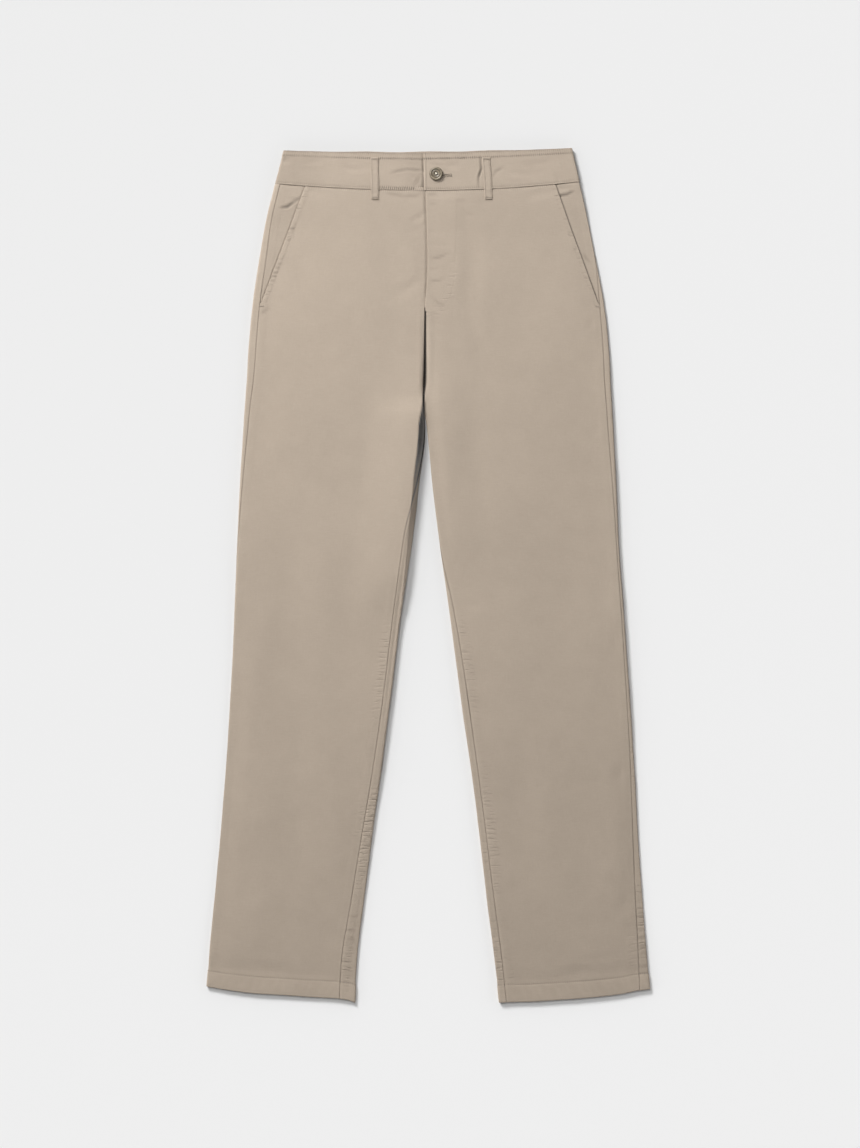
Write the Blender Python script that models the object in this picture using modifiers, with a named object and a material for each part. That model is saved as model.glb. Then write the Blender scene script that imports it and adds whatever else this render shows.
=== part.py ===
"""Chino trousers lying flat on their back: waist towards +Y, the front facing +Z.

Each leg, with its half of the seat, has one skin: a table of sections down the leg gives
its outer and inner edges, and the skin runs over the top and round the two side folds to
the underside. Every cloth piece is a wall cut from that skin between two seams, 0.3 mm
short of its neighbours. Right and left are the wearer's, so right is at -X.
"""

import math

import bmesh
import bpy
import numpy as np
from mathutils import Matrix

NAME = "chino_trousers"
MM = 0.001

# Cloth, in millimetres: walls, and the gap left at each seam
PANEL_WALL = 1.8
HEM_WALL = 2.5
BAND_WALL = 2.0
FACING_WALL = 1.5
LOOP_WALL = 1.3
SEAM_GAP = 0.3
HEM_DEPTH = 21.0

# Folds and creases
FOLD_RADIUS = 2.9
QUARTER = FOLD_RADIUS * math.pi / 2
LEG_FULLNESS = 2.6
FORK_Y = 215.0
CURL_LENGTH = 26.0
CREASE_TOP_Y = 345.0
CREASE_WIDTH = 8.0
LEG_BEGINS_Y = 300.0
LEG_FORMED_Y = 150.0

# Fly: the left front laps over the right one, from the waist seam to the end of the zip
FLY_END_Y = 335.0
FLY_FACING_WIDTH = 38.0
FLY_RISE = 0.8

# Slanted pocket openings: the front is cut away along a straight line
POCKET_BOTTOM_Y = 337.0
POCKET_TOP_INSET = {"right": 37.5, "left": 29.5}
FACING_DROP = 0.8
FACING_END = 6.0

# Waistband
BAND_SEAM_PAST_FOLD = 2.0
EXTENSION_LENGTH = 40.0
EXTENSION_DIP_LENGTH = 30.0
BACK_BAND_RISE = 2.6
BACK_BAND_RIPPLE = 0.5
BACK_BAND_RIPPLES = 9

# Belt loops: x at the top, x at the bottom; all run past both edges of the waistband's face
LOOP_WIDTH = 10.4
LOOP_TOP_Y = 519.0
LOOP_BOTTOM_Y = 466.5
LOOP_SLACK = 1.0
FRONT_LOOPS = {
    "belt_loop_front_right": (-66.5, -66.0),
    "belt_loop_front_left": (72.0, 75.0),
}
BACK_LOOPS = {
    "belt_loop_back_right": (-118.0, -118.0),
    "belt_loop_back_centre": (-5.0, -5.0),
    "belt_loop_back_left": (112.0, 112.0),
}

# Waist button and its buttonhole in the left band
BUTTON_X = 10.0
BUTTON_Y = 498.5
BUTTON_CLEAR = 1.1
BUTTON_TILT = math.radians(8)
BUTTON_HOLE_RADIUS = 1.0
BUTTON_HOLE_OFFSET = 1.75
SHANK_RADIUS = 0.6
SHANK_LENGTH = 2.9
BUTTONHOLE_ENDS = (6.5, 28.0)
BUTTONHOLE_WIDTH = 1.9
# radius and height down the turned button's outer side
BUTTON_PROFILE = (
    (0.0, 2.1),
    (4.4, 2.1),
    (5.2, 2.7),
    (6.6, 3.1),
    (7.9, 2.8),
    (8.6, 1.9),
    (8.4, 1.1),
    (7.2, 0.4),
    (5.0, 0.0),
    (SHANK_RADIUS, 0.0),
    (SHANK_RADIUS, -SHANK_LENGTH),
    (0.0, -SHANK_LENGTH),
)

# Sections down each leg, millimetres. y and x of the outer and inner edges (the inner edge is
# the centre seam down to the fork), the distances of the outseam and the inseam from those
# edges over the top, and how far the section bows towards the hem at its middle.
COLUMNS = ("y_outer", "y_inner", "x_outer", "x_inner", "outseam", "inseam", "bow")
SECTIONS = {
    "right": (
        (527.5, 523.5, -179.5, -6.0, 7.0, 0.0, -1.0),
        (486.0, 477.5, -190.0, -5.0, 7.5, 0.0, -2.0),
        (441.0, 438.5, -201.5, -3.5, 8.5, 0.0, 0.0),
        (391.0, 388.5, -210.0, -2.5, 10.0, 0.0, 0.0),
        (337.5, 336.5, -218.0, -3.5, 10.5, 0.0, 0.0),
        (279.5, 279.5, -223.5, -4.0, 11.0, 0.0, 0.0),
        (242.5, 242.5, -225.5, -4.5, 10.0, 0.0, 0.0),
        (215.0, 215.0, -227.5, -6.0, 8.5, 0.0, 0.0),
        (180.5, 180.5, -229.5, -12.0, 7.0, 0.5, 0.0),
        (118.5, 118.5, -233.5, -17.5, 5.0, 5.0, 0.0),
        (44.0, 44.0, -237.0, -25.0, 2.5, 10.0, 0.0),
        (-43.0, -43.0, -240.5, -33.0, 0.0, 11.0, 0.0),
        (-142.0, -142.0, -245.0, -45.5, 0.0, 10.5, 0.0),
        (-241.0, -241.0, -251.5, -58.0, 0.0, 12.0, 0.0),
        (-328.0, -330.5, -258.5, -70.5, 0.0, 14.5, -0.5),
        (-402.5, -410.0, -265.5, -80.5, 0.0, 16.5, -1.0),
        (-458.0, -472.0, -271.0, -88.0, 0.0, 18.0, -1.5),
        (-510.5, -530.7, -275.2, -91.0, 0.0, 18.5, -2.5),
    ),
    "left": (
        (530.5, 523.5, 178.0, -6.0, 0.0, 0.0, -1.0),
        (488.5, 477.5, 187.5, -5.0, 0.0, 0.0, -3.0),
        (441.0, 438.5, 198.0, -3.5, 0.0, 0.0, 0.0),
        (391.0, 388.5, 208.0, -2.5, 1.5, 0.0, 0.0),
        (337.5, 336.5, 218.0, -3.5, 6.5, 0.0, 0.0),
        (279.5, 279.5, 224.5, -4.0, 8.5, 0.0, 0.0),
        (242.5, 242.5, 226.5, -4.5, 9.0, 0.0, 0.0),
        (215.0, 215.0, 228.0, -6.0, 8.5, 0.0, 0.0),
        (180.5, 180.5, 230.0, -1.5, 8.0, 0.0, 0.0),
        (118.5, 118.5, 233.0, 4.5, 6.0, 0.0, 0.0),
        (44.0, 44.0, 236.5, 13.5, 4.5, 0.5, 0.0),
        (-43.0, -43.0, 242.5, 26.0, 4.5, 7.0, 0.0),
        (-142.0, -142.0, 249.5, 39.0, 5.0, 10.0, 0.0),
        (-241.0, -241.0, 256.0, 53.0, 6.0, 10.0, 0.0),
        (-328.0, -330.5, 260.5, 64.5, 7.5, 10.0, -0.5),
        (-402.5, -408.5, 266.0, 73.5, 10.0, 10.5, -1.5),
        (-460.0, -472.0, 270.5, 81.5, 11.5, 10.0, -3.0),
        (-513.5, -530.7, 275.3, 88.0, 14.0, 8.5, -4.3),
    ),
}

# Heights down the garment, millimetres: how far the underside is lifted off the surface by
# the back belt loops, and how high the front lies.
HEIGHT_COLUMNS = ("y", "lift", "crown")
HEIGHTS = (
    (535.0, 1.6, 8.5),
    (500.0, 1.6, 8.5),
    (461.0, 1.6, 8.3),
    (425.0, 0.0, 7.5),
    (300.0, 0.0, 7.3),
    (180.0, 0.0, 7.3),
    (-150.0, 0.0, 7.0),
    (-480.0, 0.0, 6.8),
    (-540.0, 0.0, 6.8),
)

CLOTH_COLOUR = (0.479, 0.407, 0.319)
FACING_COLOUR = (0.450, 0.380, 0.298)
BUTTON_COLOUR = (0.215, 0.180, 0.125)


def smoothstep(low, high, value):
    """0 at low, 1 at high, with a level start and end; low may be above high."""
    t = np.clip((value - low) / (high - low), 0.0, 1.0)
    return t * t * (3.0 - 2.0 * t)


def curve_through(xs, ys, x):
    """A smooth curve through the points, whose xs rise; it keeps level where they are level."""
    xs = np.asarray(xs, float)
    ys = np.asarray(ys, float)
    step = np.diff(xs)
    slope = np.diff(ys) / step
    tangent = np.empty_like(ys)
    tangent[0] = slope[0]
    tangent[-1] = slope[-1]
    before, after = slope[:-1], slope[1:]
    mean = (step[:-1] * after + step[1:] * before) / (step[:-1] + step[1:])
    tangent[1:-1] = np.where(before * after > 0, mean, 0.0)
    k = np.clip(np.searchsorted(xs, x) - 1, 0, len(step) - 1)
    t = np.clip((x - xs[k]) / step[k], 0.0, 1.0)
    start = (1 + 2 * t) * (1 - t) ** 2 * ys[k] + t * (1 - t) ** 2 * step[k] * tangent[k]
    end = t * t * (3 - 2 * t) * ys[k + 1] + t * t * (t - 1) * step[k] * tangent[k + 1]
    return start + end


class Skin:
    """The outer surface of one leg and its half of the seat.

    v is the mean y of a section. g is the distance round the section from the outer fold:
    positive over the top, negative along the underside.
    """

    def __init__(self, side):
        self.side = side
        rows = np.array(SECTIONS[side][::-1])
        self.table = dict(zip(COLUMNS, rows.T))
        self.stations = (self.table["y_outer"] + self.table["y_inner"]) / 2
        self.inward = 1.0 if side == "right" else -1.0

    def at(self, column, v):
        return curve_through(self.stations, self.table[column], v)

    @staticmethod
    def height(column, v):
        rows = np.array(HEIGHTS[::-1])
        return curve_through(rows[:, 0], rows[:, HEIGHT_COLUMNS.index(column)], v)

    @staticmethod
    def closed(v):
        """0 on the seat, 1 from the fork down, where the section closes into a tube."""
        return smoothstep(FORK_Y + CURL_LENGTH, FORK_Y, v)

    def width(self, v):
        room = SEAM_GAP / 2 * self.closed(v)
        return np.abs(self.at("x_inner", v) - self.at("x_outer", v)) - room

    def over_length(self, v):
        return self.width(v) + (QUARTER - FOLD_RADIUS) * (1 + self.closed(v))

    def under_length(self, v):
        return self.over_length(v)

    def top_height(self, v, w):
        """Height of the top before its folds, at distance w from the outer edge."""
        across = np.clip(w / self.width(v), 0.0, 1.0)
        seat = 1 - (1 - across) ** LEG_FULLNESS
        leg = 1 - np.abs(2 * across - 1) ** LEG_FULLNESS
        tube = smoothstep(LEG_BEGINS_Y, LEG_FORMED_Y, v)
        edge = self.height("lift", v) + 2 * FOLD_RADIUS
        return edge + (self.height("crown", v) - edge) * ((1 - tube) * seat + tube * leg)

    def fly_rise(self, v, w):
        """The lapped fly edge of the left front stands a little higher."""
        if self.side == "right":
            return 0.0 * w
        along = smoothstep(FLY_END_Y - 25, FLY_END_Y + 25, v) * smoothstep(482, 470, v)
        from_edge = self.width(v) - w
        return FLY_RISE * along * smoothstep(FLY_FACING_WIDTH, 0.0, from_edge)

    def inner_fold(self, v, t):
        """Distance from the inner edge and drop below the top, t along the cloth from it."""
        closed = self.closed(v)
        angle = np.clip(t / FOLD_RADIUS, 0.0, math.pi / 2)
        depth = smoothstep(CREASE_TOP_Y, FORK_Y, v)
        depth = depth * (self.top_height(v, self.width(v)) - self.height("lift", v) - FOLD_RADIUS)
        rounded = np.where(t < QUARTER, FOLD_RADIUS * (1 - np.cos(angle)), t - QUARTER + FOLD_RADIUS)
        valley = depth * np.clip(1 - t / CREASE_WIDTH, 0.0, 1.0) ** 2
        drop = (1 - closed) * valley + closed * depth * (1 - np.sin(angle))
        return (1 - closed) * t + closed * rounded, drop

    def point(self, v, w, z):
        across = w / self.width(v)
        y_outer, y_inner = self.at("y_outer", v), self.at("y_inner", v)
        y = y_outer + (y_inner - y_outer) * across
        y = y + self.at("bow", v) * 4 * across * (1 - across)
        x = self.at("x_outer", v) + self.inward * w
        return np.stack([x, y, z], axis=-1)

    def over(self, v, g):
        t = self.over_length(v) - g
        from_inner, drop = self.inner_fold(v, np.maximum(t, 0.0))
        angle = np.clip(g / FOLD_RADIUS, 0.0, math.pi / 2)
        on_fold = g < QUARTER
        w = np.where(on_fold, FOLD_RADIUS * (1 - np.cos(angle)), self.width(v) - from_inner)
        z = self.top_height(v, w) - drop + self.fly_rise(v, w)
        z = z - np.where(on_fold, FOLD_RADIUS * (1 - np.sin(angle)), 0.0)
        return self.point(v, w, z)

    def under(self, v, g):
        t = np.maximum(self.under_length(v) - g, 0.0)
        closed = self.closed(v)
        inner_angle = np.clip(t / FOLD_RADIUS, 0.0, math.pi / 2)
        rounded = np.where(
            t < QUARTER, FOLD_RADIUS * (1 - np.cos(inner_angle)), t - QUARTER + FOLD_RADIUS
        )
        from_inner = (1 - closed) * t + closed * rounded
        angle = np.clip(g / FOLD_RADIUS, 0.0, math.pi / 2)
        on_fold = g < QUARTER
        w = np.where(on_fold, FOLD_RADIUS * (1 - np.cos(angle)), self.width(v) - from_inner)
        curl = closed * FOLD_RADIUS * (1 - np.sin(inner_angle))
        z = self.height("lift", v) + curl
        z = z + np.where(on_fold, FOLD_RADIUS * (1 - np.sin(angle)), 0.0)
        return self.point(v, w, z)

    def __call__(self, v, g):
        """Points of the skin; past the inner fold of a closed section it goes on round."""
        v, g = np.broadcast_arrays(np.asarray(v, float), np.asarray(g, float))
        over, under = self.over_length(v), self.under_length(v)
        whole = over + under
        tube = self.closed(v) > 0.999
        g = np.where(tube & (g > over), g - whole, g)
        g = np.where(tube & (g < -under), g + whole, g)
        top = self.over(v, np.maximum(g, 0.0))
        bottom = self.under(v, np.maximum(-g, 0.0))
        return np.where((g >= 0)[..., None], top, bottom)

    def normals(self, v, g):
        """Unit normals, pointing out of the cloth."""
        v, g = np.broadcast_arrays(np.asarray(v, float), np.asarray(g, float))
        tube = self.closed(v) > 0.999
        step = 0.25
        ahead = np.where(tube, g + step, np.minimum(g + step, self.over_length(v)))
        behind = np.where(tube, g - step, np.maximum(g - step, -self.under_length(v)))
        round_it = self(v, ahead) - self(v, behind)
        low = np.maximum(v - 1.0, self.stations[0])
        high = np.minimum(v + 1.0, self.stations[-1])
        along = self(high, g) - self(low, g)
        normal = np.cross(round_it, along) * self.inward
        return normal / np.linalg.norm(normal, axis=-1, keepdims=True)


SKINS = {side: Skin(side) for side in SECTIONS}


def rows_between(skin, high, low, longest=45.0):
    """Stations from high to low: both tables' own, with more where they are far apart."""
    near_waist = [row[0] for row in HEIGHTS if row[0] > LEG_BEGINS_Y]
    shared = sorted([*skin.stations, *near_waist, POCKET_BOTTOM_Y + FACING_END], reverse=True)
    own = [v for v in shared if low < v < high]
    rows = [high]
    for v in own + [low]:
        parts = max(1, math.ceil((rows[-1] - v) / longest))
        start = rows[-1]
        rows += [start + (v - start) * (k + 1) / parts for k in range(parts)]
    return np.array(rows)


def spread(start, end, near=3, middle=5):
    """Places from start to end, closer together near the ends; one row for each section."""
    start = np.asarray(start, float)[:, None]
    end = np.asarray(end, float)[:, None]
    sense = np.sign(end - start)
    reach = np.minimum(QUARTER, np.abs(end - start) * 0.3)
    few = np.arange(near) / near
    head = start + sense * reach * few
    tail = end - sense * reach * few[::-1]
    body = np.linspace(0.0, 1.0, middle + 1)
    inner_start, inner_end = start + sense * reach, end - sense * reach
    return np.hstack([head, inner_start + (inner_end - inner_start) * body, tail])


def wrap(start, end, near=5, far=3):
    """Places from the underside's edge, start, round a fold and on to the seam at end."""
    start = np.asarray(start, float)[:, None]
    end = np.asarray(end, float)[:, None]
    length = np.abs(end - start)
    turn = np.minimum(2 * QUARTER, 0.7 * length) * np.sign(end - start)
    first = start + turn * np.arange(near) / near
    return np.hstack([first, start + turn + (end - start - turn) * np.arange(far + 1) / far])


def wall(name, outer, inner, colour):
    """A closed wall between two grids of points, in millimetres."""
    rows, columns = outer.shape[:2]
    count = rows * columns
    points = np.concatenate([outer.reshape(-1, 3), inner.reshape(-1, 3)]) * MM
    index = np.arange(count).reshape(rows, columns)
    corners = [index[:-1, :-1], index[:-1, 1:], index[1:, 1:], index[1:, :-1]]
    face = np.stack(corners, axis=-1).reshape(-1, 4)
    rim = np.concatenate([index[0, :-1], index[:-1, -1], index[-1, :0:-1], index[:0:-1, 0]])
    after = np.roll(rim, -1)
    sides = np.stack([rim, rim + count, after + count, after], axis=-1)
    faces = np.concatenate([face, face[:, ::-1] + count, sides])
    mesh = bpy.data.meshes.new(name)
    mesh.from_pydata(points.tolist(), [], faces.tolist())
    made = bmesh.new()
    made.from_mesh(mesh)
    bmesh.ops.recalc_face_normals(made, faces=made.faces)
    made.to_mesh(mesh)
    made.free()
    return add_object(name, mesh, colour)


def add_object(name, mesh, colour, roughness=0.9, collection=NAME):
    mesh.materials.append(material(name, colour, roughness))
    mesh.shade_smooth()
    mesh.set_sharp_from_angle(angle=math.radians(40))
    made = bpy.data.objects.new(name, mesh)
    bpy.data.collections[collection].objects.link(made)
    made.parent = bpy.data.objects.get(NAME)
    return made


def material(name, colour, roughness):
    made = bpy.data.materials.new(name)
    made.use_nodes = True
    shader = made.node_tree.nodes["Principled BSDF"]
    shader.inputs["Base Color"].default_value = (*colour, 1.0)
    shader.inputs["Roughness"].default_value = roughness
    shader.inputs["Metallic"].default_value = 0.0
    return made


def panel_thickness(v):
    """The cloth is thicker where the hem is turned up inside."""
    hem_top = SKINS["right"].stations[0] + HEM_DEPTH
    return PANEL_WALL + (HEM_WALL - PANEL_WALL) * smoothstep(hem_top + 4, hem_top - 4, v)


def cut_from_skin(skin, v, g, thickness):
    """Outer and inner points of a piece of the skin."""
    outer = skin(v, g)
    thickness = np.broadcast_to(thickness, v.shape)[..., None]
    return outer, outer - skin.normals(v, g) * thickness


def leg_ends(skin):
    waist = skin.stations[-2] - SEAM_GAP / 2
    return waist, skin.stations[0]


def pocket_line(skin, v):
    """Distance of the pocket opening from the outer fold, over the top."""
    waist = skin.stations[-2]
    share = np.clip((v - POCKET_BOTTOM_Y) / (waist - POCKET_BOTTOM_Y), 0.0, 1.0)
    ends = np.array([POCKET_BOTTOM_Y, waist])
    x_ends = skin.at("x_outer", ends)
    insets = np.array([skin.at("outseam", ends[0]), POCKET_TOP_INSET[skin.side]])
    x_line = x_ends + skin.inward * insets
    x = x_line[0] + (x_line[1] - x_line[0]) * share
    return skin.inward * (x - skin.at("x_outer", v)) + QUARTER - FOLD_RADIUS


def front_starts(skin, v):
    """Where the front panel begins: the pocket opening, and below it the outseam."""
    return np.where(v > POCKET_BOTTOM_Y, pocket_line(skin, v), skin.at("outseam", v))


def build_front(side):
    skin = SKINS[side]
    v = rows_between(skin, *leg_ends(skin))
    start = front_starts(skin, v) + SEAM_GAP / 2
    end = skin.over_length(v) - skin.at("inseam", v) - SEAM_GAP / 2
    g = spread(start, end)
    v = np.broadcast_to(v[:, None], g.shape)
    outer, inner = cut_from_skin(skin, v, g, panel_thickness(v))
    return wall("front_" + side, outer, inner, CLOTH_COLOUR)


def build_back(side):
    skin = SKINS[side]
    v = rows_between(skin, *leg_ends(skin))
    outseam = skin.at("outseam", v) - SEAM_GAP / 2
    inseam = -skin.under_length(v) - skin.at("inseam", v) + SEAM_GAP / 2
    under = -skin.under_length(v)
    side_wrap = wrap(np.full_like(v, -QUARTER), outseam)[:, ::-1]
    inner_wrap = wrap(under + QUARTER, inseam)
    middle = np.linspace(-QUARTER, under + QUARTER, 4).T[:, 1:-1]
    g = np.hstack([side_wrap, middle, inner_wrap])
    v = np.broadcast_to(v[:, None], g.shape)
    outer, inner = cut_from_skin(skin, v, g, panel_thickness(v))
    return wall("back_" + side, outer, inner, CLOTH_COLOUR)


def build_facing(side):
    """The cloth that shows between the pocket opening and the outseam."""
    skin = SKINS[side]
    top, _ = leg_ends(skin)
    v = rows_between(skin, top, POCKET_BOTTOM_Y + FACING_END)
    start = skin.at("outseam", v) + SEAM_GAP / 2
    end = front_starts(skin, v) - SEAM_GAP / 2
    g = spread(start, end, middle=3)
    v = np.broadcast_to(v[:, None], g.shape)
    outer, inner = cut_from_skin(skin, v, g, FACING_WALL)
    drop = FACING_DROP * smoothstep(QUARTER, pocket_line(skin, top), g)
    sunk = drop[..., None] * np.array([0.0, 0.0, -1.0])
    return wall("pocket_facing_" + side, outer + sunk, inner + sunk, FACING_COLOUR)


def band_rows(skin):
    return np.linspace(skin.stations[-2] + SEAM_GAP / 2, skin.stations[-1], 4)


def front_band_grid(side, last):
    skin = SKINS[side]
    v = band_rows(skin)
    start = np.full_like(v, -BAND_SEAM_PAST_FOLD + SEAM_GAP / 2)
    g = spread(start, skin.over_length(v) - last, near=4, middle=7)
    v = np.broadcast_to(v[:, None], g.shape)
    outer, inner = cut_from_skin(skin, v, g, BAND_WALL)
    return outer, inner


def build_front_band_left():
    """The left band ends in the lap, and is slit for the button."""
    outer, inner = front_band_grid("left", SEAM_GAP / 2)
    band = wall("waistband_front_left", outer, inner, CLOTH_COLOUR)
    x_start, x_end = BUTTONHOLE_ENDS
    z_middle = Skin.height("crown", BUTTON_Y) - BAND_WALL / 2
    bpy.ops.mesh.primitive_cube_add(size=1.0)
    cutter = bpy.context.object
    cutter.name = "buttonhole_cutter"
    cutter.data.transform(
        box_matrix(
            ((x_start + x_end) / 2, BUTTON_Y, z_middle),
            (x_end - x_start, BUTTONHOLE_WIDTH, 3 * BAND_WALL),
        )
    )
    cut_with(band, cutter)
    return band


def box_matrix(centre, size):
    """Scales a unit cube to size and moves it to centre, both in millimetres."""
    matrix = np.diag([*(np.array(size) * MM), 1.0])
    matrix[:3, 3] = np.array(centre) * MM
    return Matrix(matrix.tolist())


def build_front_band_right():
    """The right band dips and runs on under the lap, where the button is sewn."""
    outer, inner = front_band_grid("right", SEAM_GAP / 2)
    skin = SKINS["right"]
    edge = skin.at("x_inner", band_rows(skin))[:, None]
    under_lap = BAND_WALL + SEAM_GAP
    dip = under_lap * smoothstep(edge - EXTENSION_DIP_LENGTH, edge - 1.0, outer[..., 0])
    down = np.array([0.0, 0.0, -1.0])
    outer = outer + dip[..., None] * down
    inner = inner + dip[..., None] * down
    left = SKINS["left"]
    v = band_rows(left)[:, None]
    g = left.over_length(v) - np.linspace(2.0, EXTENSION_LENGTH, 5)
    more_outer, more_inner = cut_from_skin(left, np.broadcast_to(v, g.shape), g, BAND_WALL)
    outer = np.concatenate([outer, more_outer + under_lap * down], axis=1)
    inner = np.concatenate([inner, more_inner + under_lap * down], axis=1)
    return wall("waistband_front_right", outer, inner, CLOTH_COLOUR)


def build_back_band():
    """One piece round the back, gathered by its elastic, with its top edge a little higher."""
    halves = []
    for side in ("right", "left"):
        skin = SKINS[side]
        v = band_rows(skin)
        seam = np.full_like(v, -BAND_SEAM_PAST_FOLD - SEAM_GAP / 2)
        turn = np.linspace(seam, np.full_like(v, -QUARTER), 4).T
        rest = np.linspace(turn[:, -1], -skin.under_length(v), 9).T[:, 1:]
        g = np.hstack([turn, rest])
        v = np.broadcast_to(v[:, None], g.shape)
        halves.append(cut_from_skin(skin, v, g, BAND_WALL))
    (right_outer, right_inner), (left_outer, left_inner) = halves
    outer = np.concatenate([right_outer, left_outer[:, -2::-1]], axis=1)
    inner = np.concatenate([right_inner, left_inner[:, -2::-1]], axis=1)
    for grid in (outer, inner):
        share = (grid[..., 0] - grid[0, 0, 0]) / (grid[0, -1, 0] - grid[0, 0, 0])
        upward = np.linspace(0.0, 1.0, grid.shape[0])[:, None] ** 2
        ripple = BACK_BAND_RIPPLE * np.sin(BACK_BAND_RIPPLES * math.pi * share)
        grid[..., 1] += upward * (BACK_BAND_RISE + ripple) * np.sin(math.pi * share)
    return wall("waistband_back", outer, inner, CLOTH_COLOUR)


def top_at(x, y):
    """Height of the outside of the front at x, y."""
    skin = SKINS["right"] if x < SKINS["right"].at("x_inner", y) else SKINS["left"]
    v = np.asarray(y, float)
    for _ in range(4):
        w = skin.inward * (x - skin.at("x_outer", v))
        v = v + y - skin.point(v, w, 0.0)[..., 1]
    return float(skin.top_height(v, w) + skin.fly_rise(v, w))


def loop_grid(x_top, x_bottom, height_at):
    """A flat strip of loop cloth: height_at gives the cloth that it lies on."""
    along = np.linspace(0.0, 1.0, 9)
    across = np.linspace(-LOOP_WIDTH / 2, LOOP_WIDTH / 2, 3)
    grid = np.empty((len(along), len(across), 3))
    for i, share in enumerate(along):
        y = LOOP_TOP_Y + (LOOP_BOTTOM_Y - LOOP_TOP_Y) * share
        for j, offset in enumerate(across):
            x = x_top + (x_bottom - x_top) * share + offset
            grid[i, j] = x, y, height_at(x, y, share)
    return grid


def build_front_loop(name, x_top, x_bottom):
    def height_at(x, y, share):
        slack = LOOP_SLACK * math.sin(math.pi * share) ** 2
        return top_at(x, y) + SEAM_GAP + LOOP_WALL + slack

    outer = loop_grid(x_top, x_bottom, height_at)
    inner = outer - np.array([0.0, 0.0, LOOP_WALL])
    return wall(name, outer, inner, CLOTH_COLOUR)


def build_back_loop(name, x_top, x_bottom):
    """Lies between the back band and the surface below."""
    outer = loop_grid(x_top, x_bottom, lambda x, y, share: 0.0)
    inner = outer + np.array([0.0, 0.0, LOOP_WALL])
    return wall(name, outer, inner, CLOTH_COLOUR)


def turned(name, profile, colour, roughness):
    """A profile, radius and height in millimetres, turned round Z."""
    mesh = bpy.data.meshes.new(name)
    points = [(radius * MM, 0.0, height * MM) for radius, height in profile]
    edges = [(k, k + 1) for k in range(len(points) - 1)]
    mesh.from_pydata(points, edges, [])
    made = add_object(name, mesh, colour, roughness)
    screw = made.modifiers.new("turn", "SCREW")
    screw.steps = 32
    screw.render_steps = 32
    screw.use_merge_vertices = True
    screw.merge_threshold = 0.00001
    return made


def build_button():
    button = turned("waist_button", BUTTON_PROFILE, BUTTON_COLOUR, 0.45)
    button.location = (
        BUTTON_X * MM,
        BUTTON_Y * MM,
        (top_at(BUTTON_X, BUTTON_Y) + BUTTON_CLEAR) * MM,
    )
    button.rotation_euler = (0.0, -BUTTON_TILT, 0.0)
    for k in range(4):
        turn = math.radians(45 + 90 * k)
        bpy.ops.mesh.primitive_cylinder_add(
            vertices=12, radius=BUTTON_HOLE_RADIUS * MM, depth=8 * MM
        )
        cutter = bpy.context.object
        cutter.name = f"thread_hole_cutter_{k + 1}"
        cutter.parent = button
        cutter.location = (
            BUTTON_HOLE_OFFSET * MM * math.cos(turn),
            BUTTON_HOLE_OFFSET * MM * math.sin(turn),
            2 * MM,
        )
        cut_with(button, cutter)
    return button


def cut_with(piece, cutter):
    """Takes the cutter's shape out of the piece; the cutter stays as a hidden guide."""
    for home in list(cutter.users_collection):
        home.objects.unlink(cutter)
    bpy.data.collections["cutters"].objects.link(cutter)
    cutter.hide_render = True
    cutter.display_type = "WIRE"
    boolean = piece.modifiers.new(cutter.name, "BOOLEAN")
    boolean.operation = "DIFFERENCE"
    boolean.solver = "EXACT"
    boolean.object = cutter


def clear_scene():
    for old in list(bpy.data.objects):
        bpy.data.objects.remove(old, do_unlink=True)
    for name in (NAME, "cutters"):
        made = bpy.data.collections.new(name)
        bpy.context.scene.collection.children.link(made)
    root = bpy.data.objects.new(NAME, None)
    bpy.data.collections[NAME].objects.link(root)


def main():
    clear_scene()
    for side in SECTIONS:
        build_front(side)
        build_back(side)
        build_facing(side)
    build_front_band_right()
    build_front_band_left()
    build_back_band()
    for name, (x_top, x_bottom) in FRONT_LOOPS.items():
        build_front_loop(name, x_top, x_bottom)
    for name, (x_top, x_bottom) in BACK_LOOPS.items():
        build_back_loop(name, x_top, x_bottom)
    build_button()


main()
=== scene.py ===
"""Chino trousers lying flat on their back, dressed in cloth, stitching, a button and light.

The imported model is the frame; each soft node is replaced here by a thin cloth shell on the
same form. Tables and making are in millimetres, meshes and settings in metres. Waist is
towards +Y, the front faces +Z, and right and left are the wearer's, so right is at -X.
"""

import math

import bmesh
import bpy
import numpy as np
from bpy.props import FloatProperty, FloatVectorProperty, PointerProperty
from mathutils import Matrix, Vector


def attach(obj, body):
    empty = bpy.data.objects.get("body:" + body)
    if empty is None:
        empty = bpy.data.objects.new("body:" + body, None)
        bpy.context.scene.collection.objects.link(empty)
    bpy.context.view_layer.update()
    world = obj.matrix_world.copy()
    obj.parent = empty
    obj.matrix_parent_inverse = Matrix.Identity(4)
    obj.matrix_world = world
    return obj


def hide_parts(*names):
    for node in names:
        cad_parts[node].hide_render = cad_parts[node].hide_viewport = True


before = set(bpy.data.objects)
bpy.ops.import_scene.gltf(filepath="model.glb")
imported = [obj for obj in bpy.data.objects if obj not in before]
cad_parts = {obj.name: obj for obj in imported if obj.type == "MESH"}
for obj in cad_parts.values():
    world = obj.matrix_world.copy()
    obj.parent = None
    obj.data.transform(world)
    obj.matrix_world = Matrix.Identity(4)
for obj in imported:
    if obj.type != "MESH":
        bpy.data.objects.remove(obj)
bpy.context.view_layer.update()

bl_info = {
    "name": "Chino trousers",
    "version": (1, 0, 0),
    "blender": (4, 5, 0),
    "location": "View3D > Sidebar > Chinos",
    "description": "Cloth, stitching, button and studio for a pair of flat-laid chino trousers",
    "category": "Object",
}

MM = 0.001

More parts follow.
